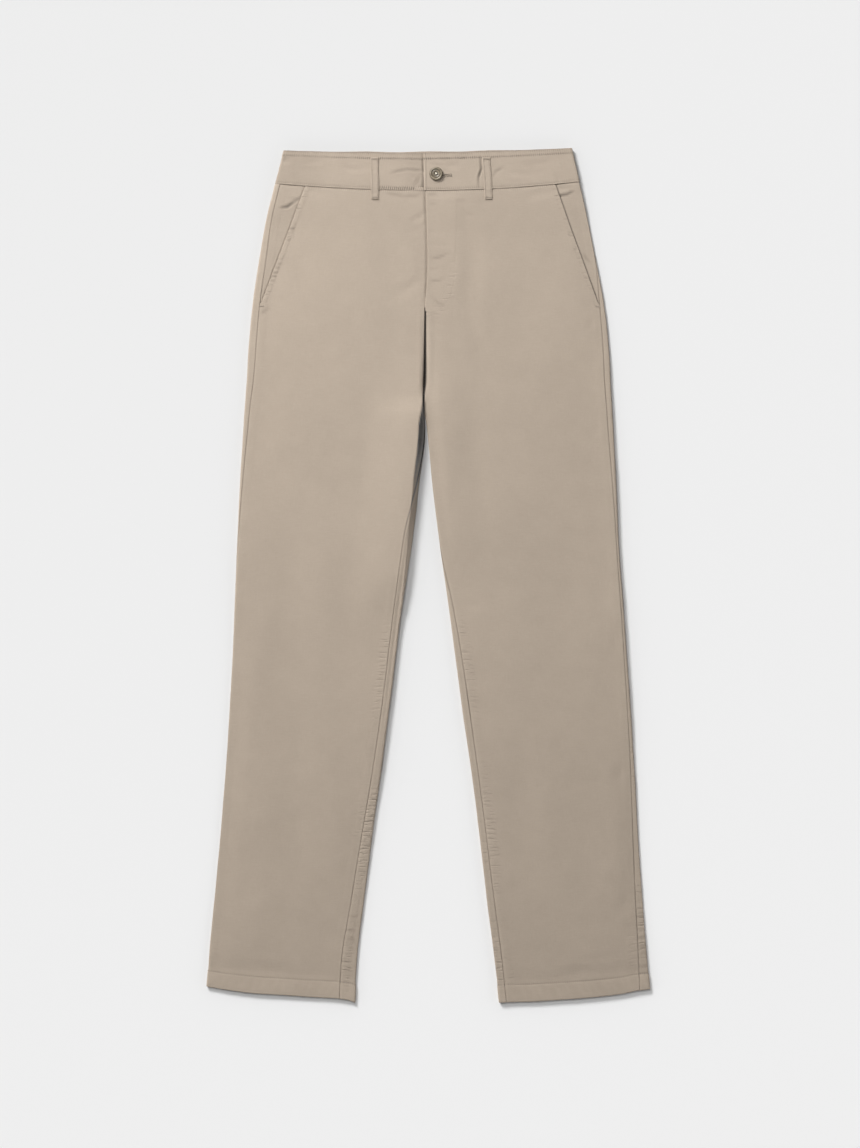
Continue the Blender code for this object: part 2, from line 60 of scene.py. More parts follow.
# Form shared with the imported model
FOLD_RADIUS = 2.3
QUARTER = FOLD_RADIUS * math.pi / 2
LEG_FULLNESS = 2.6
FORK_Y = 215.0
CURL_LENGTH = 26.0
CREASE_TOP_Y = 356.0
CREASE_WIDTH = 7.0
LEG_BEGINS_Y = 300.0
LEG_FORMED_Y = 150.0
FLY_END_Y = 335.0
FLY_FACING_WIDTH = 38.0
FLY_RISE = 0.7
FLY_SET_BACK = 1.8
EDGE_SQUARENESS = 2.6
POCKET_BOTTOM_Y = 337.0
POCKET_TOP_INSET = {"right": 37.5, "left": 29.5}
BAND_SEAM_PAST_FOLD = 2.0
BACK_BAND_RISE = 2.6
BACK_BAND_RIPPLE = 0.5
BACK_BAND_RIPPLES = 9
LAP_DIP = 2.2
LAP_DIP_LENGTH = 30.0

# Sections down each leg: y and x of the outer and inner edges, how far the outseam and the
# inseam lie from those edges over the top, and the section's bow towards the hem.
COLUMNS = ("y_outer", "y_inner", "x_outer", "x_inner", "outseam", "inseam", "bow")
SECTIONS = {
    "right": (
        (527.5, 523.5, -179.5, -6, 7, 0, -1),
        (486, 477.5, -190, -5, 7.5, 0, -2),
        (441, 438.5, -201.5, -3.5, 8.5, 0, 0),
        (391, 388.5, -210, -2.5, 10, 0, 0),
        (337.5, 336.5, -218, -3.5, 10.5, 0, 0),
        (279.5, 279.5, -223.5, -4, 11, 0, 0),
        (242.5, 242.5, -225.5, -4.5, 10, 0, 0),
        (215, 215, -227.5, -6, 8.5, 0, 0),
        (180.5, 180.5, -229.5, -4.2, 7, 0.5, 0),
        (118.5, 118.5, -233.5, -10.8, 5, 4, 0),
        (44, 44, -237, -19.5, 2.5, 12.5, 0),
        (-43, -43, -240.5, -33, 0, 11, 0),
        (-142, -142, -245, -45.5, 0, 10.5, 0),
        (-241, -241, -251.5, -58, 0, 12, 0),
        (-328, -330.5, -258.5, -70.5, 0, 14.5, -0.5),
        (-402.5, -410, -265.5, -80.5, 0, 17.5, -1),
        (-458, -472, -271, -88, 0, 20, -1.5),
        (-510.5, -530.7, -275.2, -91, 0, 20.5, -2.5),
    ),
    "left": (
        (530.5, 523.5, 178, -6, 0, 0, -1),
        (488.5, 477.5, 187.5, -5, 0, 0, -3),
        (441, 438.5, 198, -3.5, 0, 0, 0),
        (391, 388.5, 208, -2.5, 1.5, 0, 0),
        (337.5, 336.5, 218, -3.5, 6.5, 0, 0),
        (279.5, 279.5, 224.5, -4, 8.5, 0, 0),
        (242.5, 242.5, 226.5, -4.5, 9, 0, 0),
        (215, 215, 228, -6, 8.5, 0, 0),
        (180.5, 180.5, 230, -1.5, 8, 0, 0),
        (118.5, 118.5, 233, 4.5, 6, 0, 0),
        (44, 44, 236.5, 13.5, 4.5, 0.5, 0),
        (-43, -43, 242.5, 26, 4.5, 7, 0),
        (-142, -142, 249.5, 39, 5, 10, 0),
        (-241, -241, 256, 53, 6, 10, 0),
        (-328, -330.5, 260.5, 64.5, 7.5, 10, -0.5),
        (-402.5, -408.5, 266, 73.5, 10, 10.5, -1.5),
        (-460, -472, 270.5, 81.5, 11.5, 11, -3),
        (-513.5, -530.7, 275.3, 88, 14, 10.5, -4.3),
    ),
}
# y, how far the underside is lifted by the back belt loops, and how high the front lies
HEIGHT_COLUMNS = ("y", "lift", "crown")
HEIGHTS = (
    (535, 1.6, 7.4), (500, 1.6, 7.6), (461, 1.6, 7.4), (425, 0, 6.5), (300, 0, 6.2),
    (180, 0, 6.2), (-150, 0, 5.9), (-480, 0, 5.1), (-540, 0, 4.3),
)
# The hem's edge: share of the way in from the outer fold, and y
HEM_LINES = {
    "right": (
        (0, -510.2), (0.16, -515), (0.33, -518.8), (0.5, -520.5), (0.65, -522.6), (0.8, -524.2),
        (0.9, -525.4), (0.97, -527.8), (1, -530.4),
    ),
    "left": (
        (0, -513.6), (0.08, -515.2), (0.18, -519), (0.33, -522.7), (0.47, -525), (0.62, -526.8),
        (0.75, -528.6), (0.9, -529.4), (1, -530.2),
    ),
}
HEM_LINE_FADE = 70.0
# How much higher than a plain fold the cloth stands at each leg's inner edge, by y: the right
# leg's is pushed up beside the fork, and the left leg is full just in from its edge.
SWELL_REACH = {"right": 78, "left": 30}
SWELL = {
    "right": (
        (-540, -0.4), (-470, -0.5), (-400, -0.8), (-280, 1), (-230, 2), (-180, 2.6), (-80, 2.4),
        (-30, 4.2), (44, 6.8), (93, 7.6), (150, 8), (190, 7.4), (215, 4.5), (260, 1), (345, 0),
    ),
    "left": (
        (-90, 0), (0, 0.4), (60, 1.6), (143, 3.2), (185, 3.6), (215, 3), (260, 1), (345, 0),
    ),
}
# Beside the fork the right leg's side slopes out to a low edge: the slope's width, by y
SLOPE = (
    (-43, 0), (44, 5.5), (118.5, 7.2), (180.5, 7.8), (208, 2), (222, 0),
)
SLOPE_DROP = 2.2
SLOPE_FORMED = 3.0
# How dark the painted shade is on the slope beside the fork
FORK_SHADE = 1.3
# In metres: lower than these the deepest painted shade is greyer, and the painted shade in the crease above
# the fork is black
GREY_BELOW = 0.22
BLACK_BELOW = 0.37
# How much higher than a plain fold the cloth stands at the outer edges, by y: they are
# flatter beside the hips and down the shins.
OUTER_REACH = 30.0
OUTER_SWELL = {
    "right": (
        (-540, -0.3), (-470, -0.6), (-380, -1.6), (-150, -1.2), (-20, 0.4), (300, 0.5), (440, 0),
        (540, 0),
    ),
    "left": (
        (-540, -0.3), (-470, -0.6), (-400, -1.7), (-280, -1.4), (-180, 0.5), (200, 0.7),
        (310, -1.2), (460, -1.3), (480, -0.4), (540, -0.4),
    ),
}

# Cloth at edges and seams
EDGE_RADIUS = 0.4
FOLDED_EDGE = 0.95
HEM_THICKNESS = 1.9
HEM_RADIUS = 0.95
BAND_THICKNESS = 2.0
BAND_LIP = 0.9
BAND_RADIUS = 0.95
BAND_PROUD = 0.45
WAIST_TONGUE = 4.0
UNDERLAP = 12.0
SEAM_DIP = 0.2
SEAM_DIP_REACH = 0.7
ALLOWANCE_WIDTH = 8.0
ALLOWANCE_RISE = 0.16
STITCH_DIP = 0.12
STITCH_DIP_REACH = 0.9
# How far the painted shade in a seam or a row of stitches reaches
CREVICE_REACH = 0.8
# Added to a distance where there is no seam, it takes the place out of the seam's reach
OUT_OF_REACH = 200
RIM_TURNS = 4
SHARP_CREASE = 2.4
MARK_LIMIT = 2.0

# Places of the stitch rows
POCKET_STITCH = 5.6
FLY_STITCH = ((35.5, 476), (34.5, 432), (32.8, 395), (31, 364), (27, 348),
              (19.5, 336), (10, 328), (0.8, 325.5))
BAND_TOP_STITCH = 6.3
BAND_LOW_STITCH = 2.4
LAP_STITCH = 3.0
LOOP_STITCH = 1.4

# Belt loops
LOOP_WIDTH = 9.4
LOOP_THICKNESS = 0.9
LOOP_SLACK = 0.25
BACK_LOOP_Z = 0.35
LOOP_TOP_Y = 518.5
LOOP_BOTTOM_Y = 466.5
LOOP_BAR = 2.4
# x of each loop's top and bottom, and whether it is on the front
LOOPS = {
    "belt_loop_front_right": (-66.5, -66, True),
    "belt_loop_front_left": (72, 75, True),
    "belt_loop_back_right": (-118, -118, False),
    "belt_loop_back_centre": (-5, -5, False),
    "belt_loop_back_left": (112, 112, False),
}

# Waist button and buttonhole
BUTTON_X = 9.9
BUTTON_Y = 497.9
BUTTON_CLEAR = 0.2
BUTTON_TILT = math.radians(5)
BUTTON_STEPS = 72
THREAD_HOLE_RADIUS = 1.0
THREAD_HOLE_OFFSET = 1.75
BUTTONHOLE_ENDS = (6.5, 28)
BUTTONHOLE_Y = 496.2
# radius and height down the turned button's outer side
BUTTON_PROFILE = (
    (0, 1.4), (2.6, 1.4), (3.2, 1.5), (3.7, 1.85), (4.1, 1.9), (4.5, 1.6), (5.1, 1.5), (5.6, 1.75),
    (6.1, 2.25), (6.6, 2.5), (7.2, 2.45), (7.8, 2.1), (8.3, 1.6), (8.4, 1.2), (8, 0.7), (7, 0.3),
    (5.5, 0), (0, 0),
)

# Creases in the front: points (x, y), half width, depth; a negative depth is a ridge
FRONT_CREASES = (
    (((-52.4, 474.3), (-32.5, 470.6), (-16.4, 470.6), (-7, 474)), 2.3, 0.3),
    (((-1.5, 472.2), (11.5, 472.2)), 2.1, 0.31),
    (((2, 460.7), (10.5, 460.9)), 1.8, 0.22),
    (((2, 392.8), (9, 393.9), (16, 395.6), (25.5, 400.3)), 1.8, 0.3),
    (((1.5, 364.2), (9, 365.4), (14.6, 366.2), (20.5, 369.4)), 1.8, 0.28),
    (((2, 380), (14, 381.5)), 2.1, 0.14),
    (((1, 427), (16, 426)), 2.5, 0.12),
    (((-3.5, 450.5), (-8, 446.5), (-14.2, 442.3), (-24, 435)), 3.2, 0.4),
    (((-4, 438), (-12, 431), (-26, 424)), 4.5, 0.25),
    (((-48, 345), (-24, 356), (-5, 372)), 6, 0.28),
    (((4, 346), (12, 338), (24, 333)), 2.2, 0.22),
    (((5, 336), (14, 329), (30, 326)), 2.4, 0.2),
    (((3, 412), (14, 409), (26, 411)), 3, 0.2),
    (((29.5, 461.5), (47.4, 462.2)), 3, 0.22),
    (((46, 447.5), (56, 445.5)), 3, 0.25),
    (((60, 466), (72, 458)), 4, 0.19),
    (((-208.5, 324.5), (-202.4, 328), (-197.5, 332.5)), 2, 0.28),
    (((-204, 314), (-193, 317)), 3, 0.19),
    (((165, 478), (140, 474), (120, 468)), 4.6, 0.25),
    (((-150, 478), (-128, 470)), 4.6, 0.22),
    (((205, 318), (196, 300)), 4, 0.19),
    (((209, 191), (206, 172)), 5.2, 0.25),
    (((236, -66), (231, -96)), 6.3, 0.25),
    (((240, -232), (233, -258)), 6.9, 0.31),
    (((246, -395), (238, -425)), 7.5, 0.34),
    (((66, 43), (84, 22)), 10.3, 0.25),
    (((70, -60), (88, -94)), 9.2, 0.28),
    (((50, -33), (63, -40)), 5.2, 0.19),
    (((-258, -480), (-222, -485), (-168, -489)), 6.3, 0.31),
    (((-152, -492), (-128, -490)), 5.2, 0.22),
    (((165, -493), (205, -489), (244, -486)), 5.2, 0.34),
    (((190, -480), (228, -474)), 5.8, 0.22),
    (((112, -492), (128, -494)), 4.6, 0.19),
    (((-236, 60), (-222, 48)), 6.9, 0.22),
    (((-120, -440), (-96, -462)), 6.9, 0.22),
)
# Long soft troughs down the legs and over the hips
FRONT_FOLDS = (
    (((-172, 110), (-172, -154), (-164, -303), (-143, -415), (-124, -470)), 25, 1.15),
    (((-212, -380), (-216, -470)), 18, -0.5),
    (((73, 440), (118, 372), (124, 300)), 22, 0.75),
    (((60, 440), (52, 330), (70, 250)), 9, 0.35),
    (((-60, 440), (-40, 360), (-36, 280)), 16, 0.45),
    (((150, 60), (172, -120)), 30, 0.6),
    (((195, -170), (205, -420)), 26, 0.6),
    (((110, -200), (122, -420)), 18, 0.45),
    (((-110, 180), (-120, 20)), 24, 0.4),
)
# Creases in the two pocket facings and in the waistband's face
FACING_CREASES = (
    (((-184, 456), (-174.5, 457.6), (-167, 462.5), (-160, 468)), 1.9, 0.8),
    (((-169.5, 467.5), (-161, 463.8)), 2.5, 0.3),
    (((160, 469.5), (166, 471.6), (172, 472.6), (180, 476.5)), 1.8, 1),
    (((162, 480), (178, 480.6)), 3, 0.31),
    (((193, 398.5), (200, 389)), 2.3, 0.37),
)
BAND_CREASES = (
    (((-47, 498.5), (-38, 501.2), (-26.4, 503.2), (-5, 502.2)), 2.1, 0.36),
    (((-17, 481), (-12.5, 488), (-8.5, 496)), 2.8, 0.25),
    (((-182, 513.6), (-171, 516.4)), 3.7, 0.37),
    (((-160, 511.5), (-133, 513.5)), 3, 0.22),
    (((64.6, 519), (65.8, 504), (62.4, 493.5), (62.4, 482)), 1.5, 0.85),
    (((79.5, 494), (84.5, 501), (92, 505.5)), 2.1, 0.37),
    (((22, 508.2), (36, 507.4)), 3.4, 0.28),
    (((2, 512), (8, 508.5), (16, 507)), 2.5, 0.25),
    (((-110, 507), (-92, 503), (-76, 505.5)), 3.4, 0.22),
    (((120, 508), (150, 513)), 4, 0.25),
    (((100, 500), (128, 496)), 3.4, 0.19),
    (((158, 497), (166, 486)), 2.5, 0.22),
)
# Soft troughs in the back panels, which lie on the table
BACK_FOLDS = (
    (((-60, 300), (-120, 230), (-190, 200)), 9, 0.8),
    (((60, 300), (130, 235), (195, 215)), 10, 0.8),
    (((-170, 60), (-178, -160), (-160, -330)), 18, 0.8),
    (((140, 40), (160, -140), (190, -300)), 16, 0.7),
    (((-90, -60), (-150, -90), (-215, -80)), 7, 0.6),
    (((70, -70), (150, -100), (220, -86)), 7, 0.6),
)


def ease(low, high, value):
    """0 at low, 1 at high, with a level start and end; low may be above high."""
    t = np.clip((value - low) / (high - low), 0, 1)
    return t * t * (3 - 2 * t)


def bump(value, width):
    return np.exp(-((value / width) ** 2))


def curve_through(xs, ys, x):
    """A smooth curve through the points, whose xs rise; it keeps level where they are level."""
    xs = np.asarray(xs, float)
    ys = np.asarray(ys, float)
    step = np.diff(xs)
    slope = np.diff(ys) / step
    tangent = np.empty_like(ys)
    tangent[0] = slope[0]
    tangent[-1] = slope[-1]
    before, after = slope[:-1], slope[1:]
    mean = (step[:-1] * after + step[1:] * before) / (step[:-1] + step[1:])
    tangent[1:-1] = np.where(before * after > 0, mean, 0)
    k = np.clip(np.searchsorted(xs, x) - 1, 0, len(step) - 1)
    t = np.clip((x - xs[k]) / step[k], 0, 1)
    start = (1 + 2 * t) * (1 - t) ** 2 * ys[k] + t * (1 - t) ** 2 * step[k] * tangent[k]
    end = t * t * (3 - 2 * t) * ys[k + 1] + t * t * (t - 1) * step[k] * tangent[k + 1]
    return start + end


def curve_by(table, x):
    """The smooth curve through a table of pairs; level past its ends."""
    xs, ys = np.array(table).T
    return curve_through(xs, ys, x)


def fold_shape(angle):
    """How far in from a fold, and how far below the top, as shares; a little squarer than round."""
    power = 2 / EDGE_SQUARENESS
    return 1 - np.maximum(np.cos(angle), 0) ** power, 1 - np.sin(angle) ** power


class Skin:
    """The outer surface of one leg and its half of the seat, in millimetres.

    v is the mean y of a section. g is the distance round the section from the outer fold:
    positive over the top, negative along the underside.
    """

    def __init__(self, side):
        self.side = side
        rows = np.array(SECTIONS[side][::-1])
        self.table = dict(zip(COLUMNS, rows.T))
        self.stations = (self.table["y_outer"] + self.table["y_inner"]) / 2
        self.inward = 1 if side == "right" else -1
        self.hem, self.waist, self.top = self.stations[[0, -2, -1]]

    def at(self, column, v):
        return curve_through(self.stations, self.table[column], v)

    @staticmethod
    def height(column, v):
        rows = np.array(HEIGHTS[::-1])
        return curve_through(rows[:, 0], rows[:, HEIGHT_COLUMNS.index(column)], v)

    @staticmethod
    def closed(v):
        """0 on the seat, 1 from the fork down, where the section closes into a tube."""
        return ease(FORK_Y + CURL_LENGTH, FORK_Y, v)

    def width(self, v):
        return np.abs(self.at("x_inner", v) - self.at("x_outer", v))

    def over_length(self, v):
        return self.width(v) + (QUARTER - FOLD_RADIUS) * (1 + self.closed(v))

    def swell(self, v, from_inner):
        """How much higher the cloth stands beside the inner edge."""
        height = curve_by(SWELL[self.side], v)
        reach = SWELL_REACH[self.side]
        if self.side == "right":
            slope = curve_by(SLOPE, v)
            rise = np.where(slope > 0.1, np.clip(from_inner / np.maximum(slope, 0.1), 0, 1), 1)
            drop = SLOPE_DROP * np.clip(slope / SLOPE_FORMED, 0, 1)
            return (height + drop) * rise * ease(reach, 1, from_inner) - drop * (1 - rise) ** 2
        edge = ease(230, 300, v)
        rounded = ease(0, 0.7 * reach, from_inner)
        return height * ease(2.2 * reach, 0.7 * reach, from_inner) * np.maximum(rounded, edge)

    def top_height(self, v, w):
        """Height of the top before its folds, at distance w from the outer edge."""
        width = self.width(v)
        across = np.clip(w / width, 0, 1)
        seat = 1 - (1 - across) ** LEG_FULLNESS
        leg = 1 - np.abs(2 * across - 1) ** LEG_FULLNESS
        tube = ease(LEG_BEGINS_Y, LEG_FORMED_Y, v)
        edge = self.height("lift", v) + 2 * FOLD_RADIUS
        height = edge + (self.height("crown", v) - edge) * ((1 - tube) * seat + tube * leg)
        outer = curve_by(OUTER_SWELL[self.side], v) * ease(OUTER_REACH, 1, w)
        return height + outer + self.swell(v, np.maximum(width - w, 0))

    def fly_rise(self, v, w):
        """The lapped fly of the left front stands higher, and steps down past its facing."""
        if self.side == "right":
            return 0 * w
        along = ease(FLY_END_Y - 25, FLY_END_Y + 25, v) * ease(482, 470, v)
        from_edge = self.width(v) - w
        return FLY_RISE * along * ease(FLY_FACING_WIDTH + 14, FLY_FACING_WIDTH - 2, from_edge)

    def inner_fold(self, v, t):
        """Distance from the inner edge and drop below the top, t along the cloth from it."""
        closed = self.closed(v)
        angle = np.clip(t / FOLD_RADIUS, 0, math.pi / 2)
        depth = ease(CREASE_TOP_Y, FORK_Y, v)
        depth = depth * (self.top_height(v, self.width(v)) - self.height("lift", v) - FOLD_RADIUS)
        in_x, in_z = fold_shape(angle)
        rounded = np.where(t < QUARTER, FOLD_RADIUS * in_x, t - QUARTER + FOLD_RADIUS)
        valley = depth * np.clip(1 - t / CREASE_WIDTH, 0, 1) ** 2
        drop = (1 - closed) * valley + closed * depth * in_z
        return (1 - closed) * t + closed * rounded, drop

    def hem_shift(self, v, across):
        """Moves the lowest rows on to the line of the hem's edge."""
        row = self.table
        straight = row["y_outer"][0] + (row["y_inner"][0] - row["y_outer"][0]) * across
        straight = straight + row["bow"][0] * 4 * across * (1 - across)
        fade = ease(self.hem + HEM_LINE_FADE, self.hem, v)
        return fade * (curve_by(HEM_LINES[self.side], across) - straight)

    def point(self, v, w, z):
        across = w / self.width(v)
        y_outer, y_inner = self.at("y_outer", v), self.at("y_inner", v)
        y = y_outer + (y_inner - y_outer) * across
        y = y + self.at("bow", v) * 4 * across * (1 - across)
        y = y + self.hem_shift(v, np.clip(across, 0, 1))
        x = self.at("x_outer", v) + self.inward * w
        return np.stack([x, y, z], axis=-1)

    def over(self, v, g):
        t = self.over_length(v) - g
        from_inner, drop = self.inner_fold(v, np.maximum(t, 0))
        past = np.maximum(-t, 0) * (1 - self.closed(v))
        angle = np.clip(g / FOLD_RADIUS, 0, math.pi / 2)
        on_fold = g < QUARTER
        in_x, in_z = fold_shape(angle)
        w = np.where(on_fold, FOLD_RADIUS * in_x, self.width(v) - from_inner + past)
        z = self.top_height(v, w) - drop + self.fly_rise(v, w)
        rise = self.top_height(v, 0 * w) - self.height("lift", v) - FOLD_RADIUS
        z = z - np.where(on_fold, rise * in_z, 0)
        return self.point(v, w, z)

    def under(self, v, g):
        t = np.maximum(self.over_length(v) - g, 0)
        closed = self.closed(v)
        inner_angle = np.clip(t / FOLD_RADIUS, 0, math.pi / 2)
        rounded = np.where(
            t < QUARTER, FOLD_RADIUS * (1 - np.cos(inner_angle)), t - QUARTER + FOLD_RADIUS
        )
        from_inner = (1 - closed) * t + closed * rounded
        angle = np.clip(g / FOLD_RADIUS, 0, math.pi / 2)
        on_fold = g < QUARTER
        w = np.where(on_fold, FOLD_RADIUS * (1 - np.cos(angle)), self.width(v) - from_inner)
        z = self.height("lift", v) + closed * FOLD_RADIUS * (1 - np.sin(inner_angle))
        z = z + np.where(on_fold, FOLD_RADIUS * (1 - np.sin(angle)), 0)
        return self.point(v, w, z)

    def __call__(self, v, g):
        """Points of the skin; past the inner fold of a closed section it goes on round."""
        v, g = np.broadcast_arrays(np.asarray(v, float), np.asarray(g, float))
        over = self.over_length(v)
        tube = self.closed(v) > 0.999
        g = np.where(tube & (g > over), g - 2 * over, g)
        g = np.where(tube & (g < -over), g + 2 * over, g)
        top = self.over(v, np.maximum(g, 0))
        bottom = self.under(v, np.maximum(-g, 0))
        return np.where((g >= 0)[..., None], top, bottom)

    def normals(self, v, g):
        """Unit normals, pointing out of the cloth."""
        v, g = np.broadcast_arrays(np.asarray(v, float), np.asarray(g, float))
        tube = self.closed(v) > 0.999
        step = 0.3
        behind = np.where(tube, g - step, np.maximum(g - step, -self.over_length(v)))
        round_it = self(v, g + step) - self(v, behind)
        low = np.maximum(v - 1, self.hem)
        high = np.minimum(v + 1, self.top)
        along = self(high, g) - self(low, g)
        normal = np.cross(round_it, along) * self.inward
        return normal / np.linalg.norm(normal, axis=-1, keepdims=True)

    def locate(self, x, y):
        """v and g of the place on the top that lies over x, y."""
        v = np.asarray(y, float)
        for _ in range(6):
            w = self.inward * (x - self.at("x_outer", v))
            v = v + y - self.point(v, w, 0 * w)[..., 1]
        return v, w + QUARTER - FOLD_RADIUS


SKINS = {side: Skin(side) for side in SECTIONS}


def pocket_line(skin, v):
    """Distance of the pocket opening from the outer fold, over the top."""
    share = np.clip((v - POCKET_BOTTOM_Y) / (skin.waist - POCKET_BOTTOM_Y), 0, 1.1)
    ends = np.array([POCKET_BOTTOM_Y, skin.waist])
    insets = np.array([skin.at("outseam", ends[0]), POCKET_TOP_INSET[skin.side]])
    x_line = skin.at("x_outer", ends) + skin.inward * insets
    x = x_line[0] + (x_line[1] - x_line[0]) * share
    return skin.inward * (x - skin.at("x_outer", v)) + QUARTER - FOLD_RADIUS


def front_starts(skin, v):
    """Where the front panel begins: the pocket opening, and below it the outseam."""
    return np.where(v > POCKET_BOTTOM_Y, pocket_line(skin, v), skin.at("outseam", v))


def front_ends(skin, v):
    """Where it ends: the inseam, the centre seam, or under the fly."""
    end = skin.over_length(v) - skin.at("inseam", v)
    if skin.side == "right":
        return end + UNDERLAP * ease(FLY_END_Y, FLY_END_Y + 14, v)
    return end - FLY_SET_BACK * ease(FLY_END_Y, FLY_END_Y + 45, v)


# ---- relief: what the cloth does on the skin -------------------------------------------


class Relief:
    """Height over the skin, in millimetres, and the marks that the material shows.

    The first mark is 1 where the cloth is rubbed pale and -1 where painted shade darkens it; ticks
    and puckered say how far it is drawn up by the stitches of a row that runs across it or down it.
    """

    def __init__(self, like):
        self.height = np.zeros(like.shape)
        self.wear_and_shade = np.zeros(like.shape)
        self.ticks = np.zeros(like.shape)
        self.puckered = np.zeros(like.shape)

    def add(self, height, wear_and_shade=0, ticks=0, puckered=0):
        self.height = self.height + height
        self.wear_and_shade = self.wear_and_shade + wear_and_shade
        self.ticks = self.ticks + ticks
        self.puckered = self.puckered + puckered

    def mark(self, wear_and_shade=0, ticks=0, puckered=0):
        self.add(0, wear_and_shade, ticks, puckered)

    def press(self, share):
        """Flattens what stands up, where the cloth lies on the table."""
        self.height = self.height - share * np.maximum(self.height, 0)

    def marks(self):
        return np.stack([self.wear_and_shade, self.ticks, self.puckered], axis=-1)


def waves(x, y, size, seed, count=18):
    """Smooth uneven heights of about -1 to 1; size is the distance between two rises."""
    rng = np.random.default_rng(seed)
    total = np.zeros(x.shape)
    for _ in range(count):
        heading = rng.uniform(0, 2 * math.pi)
        turns = 2 * math.pi / (size * rng.uniform(0.7, 1.7))
        total += np.sin((x * math.cos(heading) + y * math.sin(heading)) * turns + rng.uniform(0, 6.3))
    return total / math.sqrt(count / 2)


def along_line(line, x, y):
    """Distance from a line of points, and the share of its length at the nearest place."""
    points = np.array(line, float)
    lengths = np.hypot(*np.diff(points, axis=0).T)
    starts = np.concatenate([[0], np.cumsum(lengths)])
    nearest = np.full(x.shape, np.inf)
    share = np.zeros(x.shape)
    side = np.zeros(x.shape)
    for k, length in enumerate(lengths):
        ahead = (points[k + 1] - points[k]) / length
        dx, dy = x - points[k, 0], y - points[k, 1]
        t = np.clip(dx * ahead[0] + dy * ahead[1], 0, length)
        off = np.hypot(dx - t * ahead[0], dy - t * ahead[1])
        closer = off < nearest
        nearest = np.where(closer, off, nearest)
        share = np.where(closer, (starts[k] + t) / starts[-1], share)
        side = np.where(closer, np.sign(dx * ahead[1] - dy * ahead[0]), side)
    return nearest, share, side, starts[-1]


def troughs(x, y, lines, strength=1):
    """Soft creases that fade towards both ends, with cloth pushed up beside them."""
    total = np.zeros(x.shape)
    for k, (line, width, depth) in enumerate(lines):
        reach = 3.2 * width
        xs, ys = np.array(line).T
        near = (x > xs.min() - reach) & (x < xs.max() + reach)
        near &= (y > ys.min() - reach) & (y < ys.max() + reach)
        if not near.any():
            continue
        off, share, _, length = along_line(line, x[near], y[near])
        fade = np.sin(math.pi * np.clip(0.06 + 0.88 * share, 0, 1)) ** 0.8
        uneven = 1 + 0.25 * np.sin(share * length / (2.2 * width) + 1.7 * k)
        shape = bump(off, width) - 0.28 * bump(off - 2 * width, 0.8 * width)
        end = ease(reach, 0.5 * reach, off)
        total[near] -= depth * fade * uneven * shape * end
    return strength * total


def creased(relief, x, y, lines):
    """Creases; down in the sharp ones painted shade darkens the cloth."""
    sharp = troughs(x, y, [line for line in lines if line[1] < SHARP_CREASE], settings().crease)
    soft = troughs(x, y, [line for line in lines if line[1] >= SHARP_CREASE], settings().crease)
    relief.add(0.6 * sharp + soft, 1.1 * np.minimum(sharp, 0))


def puckers(relief, along, away, span, pitch, reach, height, seed, slant=0.25):
    """Short uneven ridges that start at a seam, over a span of it; height may vary along it."""
    rng = np.random.default_rng(seed)
    place, last = span
    height = np.broadcast_to(height, along.shape)
    ridges = np.zeros(along.shape)
    while place < last:
        place += pitch * rng.uniform(0.5, 1.5)
        size = rng.uniform(0.35, 1)
        width = pitch * rng.uniform(0.2, 0.36)
        far = reach * rng.uniform(0.55, 1.25)
        lean = rng.uniform(-slant, slant)
        near = (np.abs(along - place) < 4 * width + slant * far) & (away < far)
        if not near.any():
            continue
        a = away[near]
        shape = bump(along[near] - place - lean * a, width)
        fade = ease(0, 1.6, a) * ease(far, 0.25 * far, a)
        ridges[near] += size * shape * fade
    rubbed = np.clip(ridges, 0, 1) * np.sqrt(np.clip(height, 0, 1))
    relief.add(height * (ridges - 0.35), 0.5 * rubbed)


def seam(relief, away, strength=1, wear_and_shade=0.15):
    """A plain seam: the cloth dips into it, with the allowances pressed open beneath; the cloth beside it is
    rubbed pale, and painted shade darkens the dip.
    """
    ridge = ALLOWANCE_RISE * ease(ALLOWANCE_WIDTH + 3, ALLOWANCE_WIDTH, away)
    shade = wear_and_shade * bump(away - 2, 1.2) - 0.62 * bump(away, CREVICE_REACH)
    relief.add(strength * (ridge - SEAM_DIP * bump(away, SEAM_DIP_REACH)), strength * shade)


def stitch_line(relief, away, strength=1):
    # Painted shade down in the row's dip, with the cloth beside it rubbed a little pale
    shade = 0.1 * bump(away, 1.8) - 0.5 * bump(away, CREVICE_REACH)
    relief.add(-strength * STITCH_DIP * bump(away, STITCH_DIP_REACH), strength * shade)


def between(low, high, value, soft):
    """1 from low to high, falling to 0 over soft outside them."""
    return ease(low - soft, low, value) * ease(high + soft, high, value)


def unevenness(relief, x, y, seed):
    relief.add(0.16 * waves(x, y, 95, seed))
    relief.add(0.045 * waves(x, y, 34, seed + 1))
    relief.add(0.010 * waves(x, y, 11, seed + 2))


def hem_band(relief, skin, v, g, seed):
    """The turned-up hem: thicker below its stitching, which ropes a little."""
    up = v - skin.hem
    depth = settings().hem_depth / MM
    relief.add(0.34 * ease(depth + 0.7, depth - 0.9, up), 0.3 * ease(depth + 1, depth - 2, up))
    relief.add(-0.3 * bump(up - depth - 6, 5))
    stitch_line(relief, up - depth, 1.5)
    inside = ease(0.5, 5, up) * ease(depth - 0.5, depth - 6, up)
    rng = np.random.default_rng(seed)
    place, last = ROUND_SPAN
    while place < last:
        place += rng.uniform(7, 16)
        lean = rng.uniform(0.25, 0.6)
        ridge = bump(g - place - lean * (up - 0.5 * depth), rng.uniform(2.2, 4))
        relief.add(rng.uniform(0.08, 0.22) * ridge * inside, 0.25 * ridge * inside)
    above = ease(depth + 0.4, depth + 2, up) * ease(depth + 12, depth + 3, up)
    relief.add(0.08 * np.sin(g / 1.9 + 2 * np.sin(g / 17)) * above, ticks=0.35 * bump(up - depth, 1.6))


